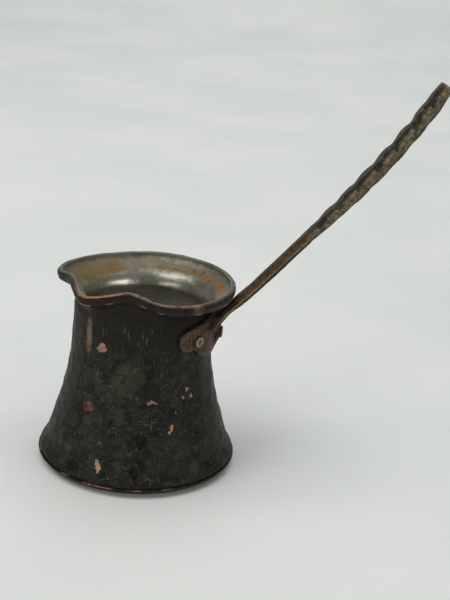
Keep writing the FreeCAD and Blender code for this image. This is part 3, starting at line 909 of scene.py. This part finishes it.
# scratches: (polar angle, height, half width, half height)
STROKES = [(246.2, 68.6, 0.28, 1.9), (249.6, 69.3, 0.24, 1.3), (265.1, 71.6, 0.26, 2.0), (268.4, 69.8, 0.24, 1.8), (279.9, 68.6, 0.30, 2.3), (283.1, 67.4, 0.26, 2.0), (286.6, 71.4, 0.26, 1.5), (276.3, 65.8, 0.24, 1.2),
           (286.0, 33.2, 0.26, 1.6), (288.4, 29.8, 0.30, 2.2), (284.0, 30.6, 1.3, 0.26), (290.8, 31.2, 1.3, 0.26), (280.4, 31.8, 0.9, 0.24), (262.6, 27.9, 1.5, 0.26), (260.0, 26.0, 0.26, 1.2), (265.4, 24.6, 0.28, 1.3),
           (277.6, 54.6, 1.5, 0.26), (275.0, 53.2, 0.26, 1.1), (254.7, 20.6, 0.75, 0.7), (263.5, 7.3, 0.45, 0.6), (270.0, 47.8, 0.26, 1.4), (296.0, 52.0, 0.22, 2.6), (300.0, 47.0, 0.9, 0.22), (257.0, 45.5, 1.7, 0.22), (251.0, 39.0, 0.24, 1.9), (244.0, 49.0, 0.24, 2.4), (233.0, 44.0, 0.24, 1.4),
           (40.0, 50.0, 0.28, 2.3), (70.0, 56.0, 0.26, 1.9), (110.0, 34.0, 1.6, 0.26), (140.0, 60.0, 0.28, 2.1), (180.0, 40.0, 0.26, 2.4), (150.0, 30.0, 1.4, 0.26)]


def set_spec(mat, level):
    for n in mat.node_tree.nodes:
        if n.type == "BSDF_PRINCIPLED":
            n.inputs["Specular IOR Level"].default_value = level
    return mat


def copper_wall():
    m = Mat("patinated_copper_wall")
    ridge, tone, middle, rim, crease, flare = (m.attr(k) for k in ("ridge", "tone", "middle", "rim", "crease", "flare"))
    n_big = m.noise(0.045, 5.0, 0.6)
    n_mid = m.noise(0.16, 6.0, 0.62, dist=0.6)
    n_fine = m.noise(0.9, 8.0, 0.7)
    grime = m.noise(0.34, 7.0, 0.68, vec=m.stretch(1, 1, 0.7, off=(31, 7, 3)))
    xyz = m.sep()
    warp = m.warped()
    # oxide: brown-black to greenish grey
    col = m.mix(m.ramp(n_big, 0.40, 0.62), lin(29, 27, 22), lin(32, 34, 28))
    col = m.mix(m.math("MULTIPLY", m.ramp(n_mid, 0.42, 0.70), 0.85), col, lin(43, 44, 37))
    col = m.mix(m.math("MULTIPLY", m.ramp(grime, 0.56, 0.38), 0.60), col, lin(18, 18, 15))
    blot = m.noise(0.75, 5.0, 0.65, vec=m.stretch(1, 1, 0.8, off=(13, 21, 5)), dist=0.8)
    col = m.mix(m.math("MULTIPLY", m.ramp(blot, 0.53, 0.66), 0.62), col, lin(70, 70, 59))
    col = m.mix(m.math("MULTIPLY", m.ramp(blot, 0.44, 0.32), 0.50), col, lin(16, 16, 13))
    # each hammer mark: dark in the hollow, paler towards its border
    shaken = m.math("ADD", tone, m.math("MULTIPLY", m.math("SUBTRACT", blot, 0.5), 0.9))
    field = m.math("MULTIPLY", m.ramp(xyz[2], 70.0, 60.0), m.ramp(n_big, 0.32, 0.50, 0.55, 1.0))
    dark = m.math("MULTIPLY", m.math("MULTIPLY", m.ramp(middle, 0.20, 1.00), m.ramp(shaken, 0.36, 0.86)), field)
    col = m.mix(m.math("MULTIPLY", dark, 0.72), col, lin(11, 12, 9))
    pale = m.math("MULTIPLY", m.math("MULTIPLY", m.ramp(middle, 0.10, 1.00), m.ramp(shaken, 0.30, 0.05)), field)
    col = m.mix(m.math("MULTIPLY", pale, 0.45), col, lin(66, 68, 56))
    rw = m.math("MULTIPLY", m.math("MULTIPLY", m.ramp(ridge, 0.20, 0.95), m.ramp(blot, 0.40, 0.60)), field)
    col = m.mix(m.math("MULTIPLY", rw, 0.52), col, lin(82, 81, 69))
    # brown neck, under the rim
    neck = m.math("MULTIPLY", m.ramp(xyz[2], 52.0, 72.0), m.ramp(n_mid, 0.30, 0.62, 0.40, 0.85))
    col = m.mix(neck, col, lin(35, 30, 25))
    # painted shadow: the neck's right side, under the flare, is darkened
    col = m.mix(m.math("MULTIPLY", m.math("MULTIPLY", m.ramp(xyz[0], 2.0, 20.0), m.ramp(xyz[2], 58.0, 74.0)), 0.72), col, lin(17, 15, 12))
    # fine upright and level scratches
    scr = m.noise(1.0, 3.0, 0.5, vec=m.stretch(3.4, 3.4, 0.16))
    scrh = m.noise(1.0, 3.0, 0.5, vec=m.stretch(0.22, 0.22, 3.6, off=(3, 3, 3)))
    lowz = m.ramp(xyz[2], 68.0, 58.0, 0.25, 1.0)
    s1 = m.math("MULTIPLY", m.math("MULTIPLY", m.ramp(scr, 0.60, 0.71), m.ramp(n_mid, 0.42, 0.58)), lowz)
    s2 = m.math("MULTIPLY", m.math("MULTIPLY", m.ramp(scrh, 0.61, 0.72), m.ramp(n_big, 0.42, 0.56)), lowz)
    scr2 = m.math("MAXIMUM", s1, s2)
    col = m.mix(m.math("MULTIPLY", scr2, 0.55), col, lin(108, 101, 84))
    fl = m.ramp(m.noise(1.5, 2.0, 0.5, vec=m.stretch(1, 1, 1, off=(5, 9, 2))), 0.70, 0.75)
    col = m.mix(m.math("MULTIPLY", fl, 0.5), col, lin(124, 116, 98))
    # green-grey bloom
    olive = m.blob(on_wall(267.5, 48.5), (5.5, 6, 6.5), 0.5, warp)
    col = m.mix(m.math("MULTIPLY", olive, m.ramp(blot, 0.40, 0.62, 0.15, 0.75)), col, lin(66, 68, 50))
    # flare underside: redder, less oxidised
    red = m.math("MULTIPLY", m.ramp(flare, 0.35, 1.0), m.ramp(n_mid, 0.38, 0.60, 0.25, 0.9))
    col = m.mix(red, col, lin(38, 27, 23))
    cb = [m.blob(on_wall(t, z), (max(a, 0.3), max(a, 2.0), b), 0.16, warp) for t, z, a, b in CHIPS]
    chip = m.add_max(cb)
    redchip = m.add_max([cb[2], cb[3]])
    orange = m.add_max([cb[5], cb[6]])
    halo = m.add_max([m.blob(on_wall(t, z), (max(a, 0.5) + 0.9, max(a, 2.0) + 0.9, b + 0.9), 0.30, warp) for t, z, a, b in CHIPS[:13]])
    fine = m.warped(0.5, 0.5, 0.25, 2.0)
    stroke = m.add_max([m.blob(on_wall(t, z), (a, max(a, 1.6), b), 0.35, fine) for t, z, a, b in STROKES])
    streak = m.blob(on_wall(231.8, 64.8), (1.5, 2.5, 8.0), 0.45, m.warped(0.8, 0.35, 0.4, 1.4))
    # rim lip and the crease under the rim band
    rimw = m.math("MULTIPLY", m.ramp(rim, 0.25, 0.8), m.ramp(grime, 0.24, 0.50, 0.55, 1.0))
    crn = m.noise(0.16, 3.0, 0.5, vec=m.stretch(1, 1, 0.6, off=(14, 3, 8)))
    crw = m.math("MULTIPLY", m.ramp(crease, 0.30, 0.85), m.ramp(crn, 0.50, 0.60, 0.03, 0.9))
    lip_l = m.blob((-17.0, -34.0, 87.0), (13, 12, 9), 0.35, warp)
    lip_r = m.blob((24.5, -32.0, 84.5), (6.5, 9, 4), 0.30, warp)
    lip_m = m.blob((10.0, -38.0, 86.0), (14, 9, 7), 0.40, warp)
    bare = m.mix(m.ramp(n_fine, 0.35, 0.65), lin(122, 96, 82), lin(172, 140, 120))
    bare = m.mix(redchip, bare, m.mix(m.ramp(blot, 0.42, 0.6), lin(66, 40, 34), lin(126, 86, 74)))
    bare = m.mix(orange, bare, m.mix(m.ramp(n_fine, 0.4, 0.6), lin(118, 82, 50), lin(158, 130, 92)))
    col = m.mix(m.math("MULTIPLY", streak, m.ramp(blot, 0.36, 0.60, 0.25, 1.0)), col, lin(126, 106, 88))
    bandm = m.math("MULTIPLY", m.math("MAXIMUM", m.math("MULTIPLY", crease, 0.0), m.ramp(flare, 0.98, 1.0)), 1.0)
    col = m.mix(m.math("MULTIPLY", bandm, 0.75), col, m.mix(m.ramp(n_mid, 0.4, 0.6), lin(27, 22, 19), lin(46, 37, 32)))
    col = m.mix(m.math("MULTIPLY", m.math("MULTIPLY", lip_l, bandm), 0.75), col, lin(50, 29, 24))
    pinkb = m.math("MULTIPLY", m.blob((28.0, -29.4, 83.4), (1.7, 3, 2.3), 0.4, warp), bandm)
    col = m.mix(m.math("MULTIPLY", pinkb, m.ramp(grime, 0.4, 0.6, 0.30, 0.85)), col, lin(112, 79, 71))
    rim_col = m.mix(m.ramp(n_mid, 0.35, 0.65), lin(54, 50, 44), lin(84, 77, 68))
    far = m.math("MULTIPLY", m.ramp(xyz[1], -14.0, 4.0), m.ramp(rim, 0.45, 0.95))
    rim_col = m.mix(far, rim_col, m.mix(m.ramp(grime, 0.36, 0.62), lin(84, 81, 70), lin(116, 112, 98)))
    rim_col = m.mix(lip_m, rim_col, m.mix(m.ramp(grime, 0.4, 0.6), lin(84, 68, 58), lin(122, 104, 90)))
    rim_col = m.mix(lip_r, rim_col, m.mix(m.ramp(grime, 0.4, 0.6), lin(100, 72, 62), lin(140, 106, 92)))
    # front-left lip: worn bare copper, partly a painted highlight that makes it the palest part of the rim
    rim_col = m.mix(lip_l, rim_col, m.mix(m.ramp(n_fine, 0.3, 0.7), lin(112, 78, 62), lin(172, 136, 112)))
    col = m.mix(crw, col, lin(132, 120, 108))
    col = m.mix(rimw, col, rim_col)
    col = m.mix(m.math("MULTIPLY", halo, 0.4), col, lin(34, 22, 17))
    col = m.mix(m.math("MULTIPLY", stroke, m.ramp(n_fine, 0.38, 0.62, 0.05, 0.70)), col, lin(112, 100, 84))
    col = m.mix(chip, col, bare)
    bare_f = m.add_max([chip, m.math("MULTIPLY", rimw, 0.7), m.math("MULTIPLY", crw, 0.7)])
    rough = m.mixf(m.ramp(n_fine, 0.3, 0.7), 0.42, 0.58)
    rough = m.mixf(m.ramp(grime, 0.35, 0.70), rough, m.math("ADD", rough, 0.12))
    rough = m.mixf(dark, rough, 0.40)
    rough = m.mixf(bare_f, rough, 0.42)
    metal = m.mixf(bare_f, 0.12, 0.70)
    pits = m.ramp(m.voronoi(0.75, vec=m.stretch(1, 1, 1, off=(2, 8, 5))), 0.02, 0.20)
    hgt = m.math("ADD", m.math("MULTIPLY", n_fine, 0.5), m.math("MULTIPLY", pits, 0.30))
    hgt = m.math("SUBTRACT", hgt, m.math("MULTIPLY", chip, 0.40))
    hgt = m.math("SUBTRACT", hgt, m.math("MULTIPLY", m.math("MAXIMUM", scr2, stroke), 0.30))
    hgt = m.math("ADD", hgt, m.math("MULTIPLY", grime, 0.6))
    return set_spec(m.done(col, rough, metal, m.bump(hgt, 0.6, 0.00014)), 0.15)


def copper_base():
    m = Mat("brown_copper_base")
    lip = m.attr("lip")
    n1 = m.noise(0.10, 5.0, 0.6)
    n2 = m.noise(0.8, 7.0, 0.68)
    col = m.mix(m.ramp(n1, 0.38, 0.64), lin(44, 27, 20), lin(27, 25, 21))
    col = m.mix(m.math("MULTIPLY", m.ramp(n2, 0.55, 0.75), 0.5), col, lin(70, 46, 35))
    xyz = m.sep()
    # redder towards the front left, black towards the right
    redf = m.ramp(xyz[0], 6.0, -12.0)
    col = m.mix(m.math("MULTIPLY", m.ramp(xyz[0], -4.0, 14.0), 0.80), col, m.mix(m.ramp(n2, 0.4, 0.6), lin(30, 31, 27), lin(44, 45, 38)))
    under = m.ramp(xyz[2], 0.55, 0.15)
    scr = m.noise(1.0, 4.0, 0.6, vec=m.stretch(0.5, 2.8, 1))
    ucol = m.mix(m.ramp(n1, 0.35, 0.65), lin(58, 46, 38), lin(96, 70, 54))
    ucol = m.mix(m.math("MULTIPLY", m.ramp(scr, 0.60, 0.72), 0.5), ucol, lin(150, 108, 84))
    scr2 = m.noise(1.0, 4.0, 0.6, vec=m.stretch(2.6, 0.18, 1, off=(9, 4, 0)))
    scr3 = m.noise(1.0, 4.0, 0.6, vec=m.stretch(0.20, 3.2, 1, off=(2, 8, 0)))
    n3 = m.noise(2.2, 6.0, 0.7)
    ucol = m.mix(m.math("MULTIPLY", m.ramp(n3, 0.42, 0.62), 0.45), ucol, lin(46, 38, 32))
    soot = m.ramp(m.noise(0.055, 6.0, 0.65, vec=m.stretch(1, 1, 1, off=(17, 5, 0)), dist=0.6), 0.46, 0.60)
    ucol = m.mix(m.math("MULTIPLY", soot, m.ramp(n2, 0.30, 0.60, 0.95, 0.60)), ucol, lin(25, 23, 21))
    scuff = m.math("MAXIMUM", m.ramp(scr2, 0.60, 0.70), m.ramp(scr3, 0.60, 0.70))
    ucol = m.mix(m.math("MULTIPLY", scuff, 0.55), ucol, lin(142, 108, 88))
    col = m.mix(under, col, ucol)
    segs = m.add_max([m.blob((44.2 * math.cos(math.radians(a)), 44.2 * math.sin(math.radians(a)), 3.5), (w_, 2.5, 1.6), 0.3, m.warped(0.8, 0.35, 0.4, 1.4))
                      for a, w_ in ((236.0, 2.6), (254.5, 4.2), (261.0, 4.6), (279.0, 2.8), (297.5, 2.2), (200.0, 4.0), (130.0, 4.0), (60.0, 4.5), (20.0, 4.0))])
    wear = m.math("MULTIPLY", m.math("MULTIPLY", m.ramp(lip, 0.35, 0.9), segs), m.ramp(n2, 0.36, 0.56, 0.15, 1.0))
    col = m.mix(wear, col, m.mix(m.ramp(n2, 0.35, 0.65), lin(104, 70, 60), lin(162, 126, 108)))
    rough = m.mixf(m.ramp(n2, 0.3, 0.7), 0.44, 0.62)
    rough = m.mixf(wear, rough, 0.36)
    metal = m.mixf(wear, 0.12, 0.75)
    return set_spec(m.done(col, rough, metal, m.bump(n2, 0.5, 0.00018)), 0.15)


def tin_coat():
    m = Mat("wiped_tin")
    dep = m.math("MULTIPLY", m.attr("depth"), 40.0)
    n1 = m.noise(0.07, 5.0, 0.6)
    n2 = m.noise(0.35, 7.0, 0.66, dist=0.8)
    n3 = m.noise(1.6, 6.0, 0.7)
    xyz = m.sep()
    wob = m.math("MULTIPLY", m.math("SUBTRACT", m.noise(0.10, 4.0, 0.6), 0.5), 5.0)
    d = m.math("ADD", dep, wob)
    # clean wiped tin in the throat, greyer and browner on the flare where it is handled and wetted
    col = m.mix(m.ramp(n1, 0.36, 0.64), lin(172, 170, 156), lin(202, 200, 184))
    flz = m.ramp(d, 12.5, 8.5)
    col = m.mix(flz, col, m.mix(m.ramp(n2, 0.38, 0.62), lin(96, 94, 81), lin(136, 132, 113)))
    col = m.mix(m.math("MULTIPLY", m.ramp(n2, 0.50, 0.70), 0.40), col, lin(84, 84, 74))
    # streaks left by wiping, running round
    ringn = m.noise(1.0, 3.0, 0.6, vec=m.stretch(0.06, 0.06, 1.5, off=(2, 2, 2)))
    col = m.mix(m.math("MULTIPLY", m.ramp(ringn, 0.46, 0.66), 0.30), col, lin(104, 102, 90))
    # coffee tide mark below the rim
    ring = m.math("MULTIPLY", m.ramp(d, 3.6, 4.6), m.ramp(d, 9.2, 7.4))
    ringl = m.math("MULTIPLY", m.ramp(d, 3.6, 5.0), m.ramp(d, 12.2, 9.4))
    ring = m.math("MAXIMUM", ring, m.math("MULTIPLY", ringl, m.ramp(xyz[0], -10.0, -16.0)))
    place = m.add_max([m.blob((13.0, 31.0, 79.0), (15, 14, 9), 0.4, m.P), m.blob((31.0, 16.0, 80.0), (12, 14, 9), 0.4, m.P),
                       m.blob((-24.0, 20.0, 80.0), (11, 16, 9), 0.45, m.P), m.blob((33.0, -8.0, 80.0), (8, 14, 9), 0.5, m.P)])
    place = m.math("MAXIMUM", place, 0.30)
    smear = m.noise(1.0, 5.0, 0.7, vec=m.stretch(0.10, 0.10, 0.75, off=(6, 2, 1)), dist=0.7)
    tide = m.math("MULTIPLY", m.math("MULTIPLY", ring, m.ramp(smear, 0.38, 0.58, 0.15, 1.0)), place)
    tcol = m.mix(m.ramp(n2, 0.42, 0.60), lin(152, 108, 38), lin(84, 48, 18))
    col = m.mix(m.math("MULTIPLY", tide, 0.9), col, tcol)
    # yellow-brown wash on the spout side
    washp = m.blob((-27.0, 22.0, 81.0), (13, 20, 8), 0.5, m.P)
    wash = m.math("MULTIPLY", washp, m.ramp(d, 1.2, 3.5))
    col = m.mix(m.math("MULTIPLY", wash, m.ramp(n2, 0.34, 0.60, 0.40, 0.85)), col, lin(116, 96, 46))
    cream = m.blob((34.0, -6.0, 80.0), (9, 12, 8), 0.5, m.warped(1.6, 0.3, 0.8, 1.2))
    col = m.mix(m.math("MULTIPLY", cream, m.ramp(n3, 0.35, 0.6, 0.20, 0.70)), col, lin(150, 142, 120))
    # pits and dark specks
    sp = m.ramp(m.voronoi(0.20, vec=m.stretch(1, 1, 1, off=(1, 2, 3))), 0.075, 0.02)
    sp2 = m.ramp(m.noise(0.8, 3.0, 0.5, vec=m.stretch(1, 1, 1, off=(7, 1, 0))), 0.66, 0.74)
    col = m.mix(m.math("MULTIPLY", sp, 0.70), col, lin(44, 36, 27))
    col = m.mix(m.math("MULTIPLY", sp2, 0.6), col, lin(62, 50, 36))
    # thin darker brown-grey line just under the far edge
    edge = m.ramp(dep, 2.0, 0.8)
    col = m.mix(m.math("MULTIPLY", edge, 0.40), col, lin(66, 63, 54))
    # painted shade: the tin darkens towards the bottom of the pot
    deep_painted_shade = m.ramp(xyz[2], 45.0, 5.0)
    col = m.mix(m.math("MULTIPLY", deep_painted_shade, 0.20), col, lin(120, 113, 96))
    rough = m.mixf(m.ramp(n2, 0.35, 0.65), 0.27, 0.35)
    rough = m.mixf(flz, rough, 0.44)
    throat = m.math("MULTIPLY", m.ramp(dep, 8.0, 11.0), m.ramp(dep, 22.0, 17.0))
    rough = m.mixf(throat, rough, 0.28)
    rough = m.mixf(tide, rough, 0.66)
    metal = m.mixf(m.math("MAXIMUM", tide, m.math("MULTIPLY", wash, 0.6)), m.mixf(throat, 0.45, 0.88), 0.10)
    hgt = m.math("ADD", m.math("MULTIPLY", n3, 0.3), m.math("MULTIPLY", n2, 0.6))
    hgt = m.math("ADD", hgt, m.math("MULTIPLY", ringn, 0.25))
    hgt = m.math("SUBTRACT", hgt, m.math("MULTIPLY", sp, 0.6))
    return m.done(col, rough, metal, m.bump(hgt, 0.5, 0.00020))


def forged_bronze():
    m = Mat("forged_bronze_handle")
    crest, along, sect, tooth, plate = (m.attr(k) for k in ("crest", "along", "sect", "tooth", "plate"))
    n1 = m.noise(0.10, 5.0, 0.62)
    n2 = m.noise(0.42, 7.0, 0.68, dist=0.5)
    n3 = m.noise(1.7, 7.0, 0.7)
    grain = m.noise(1.0, 4.0, 0.6, vec=m.stretch(0.9, 1.4, 0.35))
    wob = m.math("MULTIPLY", m.math("SUBTRACT", n2, 0.5), 0.9)
    v = m.math("ADD", sect, wob)
    # shank: brown upper face, painted shade on the lower face, a thin worn line between
    col = m.mix(m.ramp(n2, 0.36, 0.64), lin(65, 50, 35), lin(95, 78, 56))
    col = m.mix(m.math("MULTIPLY", m.ramp(n1, 0.42, 0.60), 0.5), col, lin(72, 44, 30))
    col = m.mix(m.math("MULTIPLY", m.ramp(v, -0.28, -0.52), 0.80), col, lin(30, 26, 20))
    # grip: dark upper band, grey-green to tan flank, painted shade on the lower edge
    grip = m.ramp(m.math("ADD", along, m.math("MULTIPLY", m.math("SUBTRACT", n2, 0.5), 0.12)), 0.34, 0.50)
    flank = m.mix(m.ramp(n2, 0.38, 0.62), lin(72, 70, 56), lin(116, 109, 88))
    flank = m.mix(m.math("MULTIPLY", m.ramp(n1, 0.46, 0.62), 0.5), flank, lin(95, 72, 49))
    flank = m.mix(m.math("MULTIPLY", m.ramp(v, -0.42, -0.78), 0.80), flank, lin(32, 31, 26))
    lines = m.noise(1.0, 5.0, 0.65, vec=m.stretch(0.55, 1.7, 0.55, off=(4, 1, 9)), dist=0.4)
    flank = m.mix(m.math("MULTIPLY", m.ramp(grain, 0.50, 0.36), 0.55), flank, lin(39, 35, 28))
    flank = m.mix(m.math("MULTIPLY", m.ramp(lines, 0.52, 0.64), 0.55), flank, lin(146, 137, 111))
    tooth = m.math("ADD", tooth, m.math("MULTIPLY", m.math("SUBTRACT", n1, 0.5), 0.9))
    dark_top = m.ramp(m.math("ADD", v, m.math("MULTIPLY", m.math("SUBTRACT", tooth, 0.5), -0.55)), 0.10, 0.40)
    flank = m.mix(m.math("MULTIPLY", dark_top, m.ramp(n2, 0.42, 0.66, 0.94, 0.55)), flank, lin(37, 26, 16))
    # brassy wear just below each crest, and through the notches, partly a painted highlight
    below = m.math("MULTIPLY", m.ramp(m.math("ABSOLUTE", m.math("SUBTRACT", v, 0.22)), 0.34, 0.10), m.math("MULTIPLY", m.ramp(tooth, 0.25, 0.50), m.ramp(tooth, 1.0, 0.80)))
    flank = m.mix(m.math("MULTIPLY", below, m.ramp(lines, 0.40, 0.62, 0.12, 0.72)), flank, lin(154, 136, 102))
    col = m.mix(grip, col, flank)
    # strap plate: olive brown
    pcol = m.mix(m.ramp(n2, 0.36, 0.64), lin(43, 34, 24), lin(67, 56, 40))
    col = m.mix(plate, col, pcol)
    dark = m.ramp(n2, 0.44, 0.28)
    col = m.mix(m.math("MULTIPLY", dark, 0.5), col, lin(28, 22, 17))
    col = m.mix(m.math("MULTIPLY", m.ramp(grain, 0.56, 0.68), 0.45), col, lin(30, 23, 17))
    flute = m.math("MULTIPLY", m.math("MULTIPLY", plate, m.ramp(n1, 0.40, 0.55)), m.ramp(n3, 0.42, 0.60))
    col = m.mix(m.math("MULTIPLY", flute, 0.65), col, lin(124, 92, 68))
    hollow = m.ramp(crest, -0.10, -0.5)
    col = m.mix(m.math("MULTIPLY", hollow, 0.75), col, lin(28, 21, 15))
    line = m.math("MULTIPLY", m.ramp(m.math("ABSOLUTE", m.math("ADD", sect, 0.22)), 0.13, 0.03), m.math("MULTIPLY", m.ramp(grip, 0.9, 0.2), m.ramp(plate, 0.6, 0.1)))
    line = m.math("MULTIPLY", line, m.ramp(n3, 0.30, 0.54, 0.3, 1.0))
    wear = m.math("MULTIPLY", m.math("MULTIPLY", m.ramp(crest, 0.30, 0.85), m.ramp(n2, 0.46, 0.64)), m.mixf(plate, 0.6, 0.3))
    worn = m.math("MAXIMUM", m.math("MULTIPLY", line, 0.8), m.math("MULTIPLY", wear, 0.55))
    col = m.mix(worn, col, lin(162, 142, 111))
    rough = m.mixf(m.ramp(n2, 0.3, 0.7), 0.46, 0.64)
    rough = m.mixf(worn, rough, 0.38)
    metal = m.mixf(worn, 0.15, 0.70)
    pits = m.ramp(m.voronoi(0.9), 0.03, 0.28)
    hgt = m.math("ADD", m.math("MULTIPLY", n3, 0.5), m.math("MULTIPLY", pits, 0.4))
    hgt = m.math("ADD", hgt, m.math("MULTIPLY", n2, 0.6))
    hgt = m.math("ADD", hgt, m.math("MULTIPLY", grain, 0.4))
    return set_spec(m.done(col, rough, metal, m.bump(hgt, 0.6, 0.00020)), 0.20)


def rivet_brass():
    m = Mat("worn_brass_rivet")
    ring = m.attr("ring")
    n2 = m.noise(0.9, 6.0, 0.66)
    col = m.mix(m.ramp(n2, 0.36, 0.64), lin(81, 73, 50), lin(121, 111, 81))
    edge = m.ramp(ring, 0.84, 0.98)
    col = m.mix(m.math("MULTIPLY", edge, 0.85), col, lin(39, 32, 22))
    dim = m.ramp(ring, 0.44, 0.22)
    col = m.mix(m.math("MULTIPLY", dim, 0.65), col, lin(56, 49, 32))
    bright = m.math("MULTIPLY", m.math("MULTIPLY", m.ramp(ring, 0.45, 0.6), m.ramp(ring, 0.86, 0.7)), m.ramp(n2, 0.36, 0.6))
    col = m.mix(m.math("MULTIPLY", bright, 0.7), col, lin(200, 193, 153))
    rough = m.mixf(m.ramp(n2, 0.3, 0.7), 0.38, 0.58)
    return m.done(col, rough, m.mixf(edge, 0.75, 0.35), m.bump(n2, 0.5, 0.00014))


wall.data.materials.append(copper_wall())
base.data.materials.append(copper_base())
lining.data.materials.append(tin_coat())
handle.data.materials.append(forged_bronze())
rb = rivet_brass()
for o in (rivL, rivC, rivR):
    o.data.materials.append(rb)

for piece, node, slot in ((wall, "body_wall", "patinated_copper"), (base, "base_disc", "base_copper"), (lining, "tin_lining", "tin"),
                          (handle, "handle", "forged_bronze"), (rivL, "rivet_left", "rivet_brass"),
                          (rivC, "rivet_centre", "rivet_brass"), (rivR, "rivet_right", "rivet_brass")):
    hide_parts(node)
    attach(piece, "root")

# ---------------------------------------------------------------- floor, light, camera
def floor_material():
    m = Mat("pale_floor")
    n1 = m.noise(0.006, 4.0, 0.5)
    n2 = m.noise(0.5, 4.0, 0.6)
    col = m.mix(m.ramp(n1, 0.35, 0.65), lin(236, 239, 237), lin(242, 244, 241))
    m.b.inputs["Specular IOR Level"].default_value = 0.2
    return m.done(col, m.ramp(n2, 0.2, 0.8, 0.8, 0.9), 0.0, m.bump(n2, 0.15, 0.0006))


bm = bmesh.new()
rows = []
nx_ = 40
path = [(-1.6, 0.0)] + [(-1.6 + 3.0 * k / 20, 0.0) for k in range(1, 21)]
for k in range(1, 13):
    a = math.pi / 2 * k / 12
    path.append((1.4 + 0.6 * math.sin(a), 0.6 - 0.6 * math.cos(a)))
path += [(2.0, 1.2), (2.0, 2.2)]
cam_az = math.radians(9.0)
fw = Vector((-math.sin(cam_az), math.cos(cam_az), 0))
rt = Vector((math.cos(cam_az), math.sin(cam_az), 0))
for d_, z_ in path:
    rows.append([bm.verts.new(fw * d_ + rt * (-2.4 + 4.8 * k / nx_) + Vector((0, 0, z_ - 0.0003))) for k in range(nx_ + 1)])
for a_, b_ in zip(rows[:-1], rows[1:]):
    for k in range(nx_):
        bm.faces.new((a_[k], a_[k + 1], b_[k + 1], b_[k]))
me = bpy.data.meshes.new("floor")
bm.to_mesh(me)
bm.free()
me.polygons.foreach_set("use_smooth", [True] * len(me.polygons))
floor = bpy.data.objects.new("floor", me)
bpy.context.collection.objects.link(floor)
floor.data.materials.append(floor_material())


def area(name, loc, target, size, size_y, power, col=(1, 1, 1)):
    li = bpy.data.lights.new(name, "AREA")
    li.shape = "RECTANGLE"
    li.size, li.size_y = size, size_y
    li.energy = power
    li.color = col
    o = bpy.data.objects.new(name, li)
    o.location = loc
    o.rotation_euler = (Vector(target) - Vector(loc)).to_track_quat("-Z", "Y").to_euler()
    bpy.context.collection.objects.link(o)
    return o


area("key", (-0.70, -0.30, 1.40), (0, 0, 0.05), 1.2, 1.0, 8.3, (1.0, 1.0, 0.985))
area("top", (0.20, 0.40, 1.75), (0, 0.08, 0.05), 1.8, 1.4, 11.6, (1.0, 1.0, 1.0))
area("backdrop", (0.15, 1.55, 1.45), (0.15, 2.30, 0.0), 1.8, 1.0, 5.4, (1.0, 1.0, 1.0))
area("front_left", (-0.84, -1.02, 0.36), (0, 0, 0.075), 0.74, 0.16, 3.0, (1.0, 1.0, 0.99))
area("front_right", (1.02, -0.78, 0.36), (0, 0, 0.075), 0.80, 0.16, 3.4, (1.0, 0.99, 0.97))

w = bpy.data.worlds.new("studio")
bpy.context.scene.world = w
w.use_nodes = True
bgn = w.node_tree.nodes["Background"]
bgn.inputs[0].default_value = (0.90, 0.93, 0.92, 1)
bgn.inputs[1].default_value = 0.16
wt = w.node_tree
seen = wt.nodes.new("ShaderNodeBackground")
seen.inputs[0].default_value = (0.80, 0.83, 0.81, 1)
seen.inputs[1].default_value = 0.85
lp = wt.nodes.new("ShaderNodeLightPath")
mxw = wt.nodes.new("ShaderNodeMixShader")
wt.links.new(lp.outputs["Is Camera Ray"], mxw.inputs[0])
wt.links.new(bgn.outputs[0], mxw.inputs[1])
wt.links.new(seen.outputs[0], mxw.inputs[2])
wt.links.new(mxw.outputs[0], wt.nodes["World Output"].inputs["Surface"])
bpy.context.scene.view_settings.view_transform = "Standard"

# camera, in millimetres first: eye, view and roll of the reference view
ROT = math.radians(9.0)
EYE, YAW, PITCH, ROLL, F_PX = (0.0, -500.0, 258.9), math.radians(4.124), math.radians(19.986), math.radians(4.3705), 1196.2
fwd = Vector((math.sin(YAW) * math.cos(PITCH), math.cos(YAW) * math.cos(PITCH), -math.sin(PITCH)))
right = Vector((math.cos(YAW), -math.sin(YAW), 0.0))
up = right.cross(fwd)
r2 = right * math.cos(ROLL) + up * math.sin(ROLL)
u2 = -right * math.sin(ROLL) + up * math.cos(ROLL)
turn = Matrix.Rotation(ROT, 3, "Z")
cols = [turn @ r2, turn @ u2, turn @ (-fwd)]
eye = turn @ (Vector(EYE) * 0.001)
cam_d = bpy.data.cameras.new("camera")
cam = bpy.data.objects.new("camera", cam_d)
bpy.context.collection.objects.link(cam)
mw = Matrix(((cols[0].x, cols[1].x, cols[2].x, eye.x), (cols[0].y, cols[1].y, cols[2].y, eye.y), (cols[0].z, cols[1].z, cols[2].z, eye.z), (0, 0, 0, 1)))
cam.matrix_world = mw
cam_d.sensor_width = 36.0
cam_d.lens = F_PX * 36.0 / 600.0
cam_d.clip_start = 0.01
bpy.context.scene.camera = cam
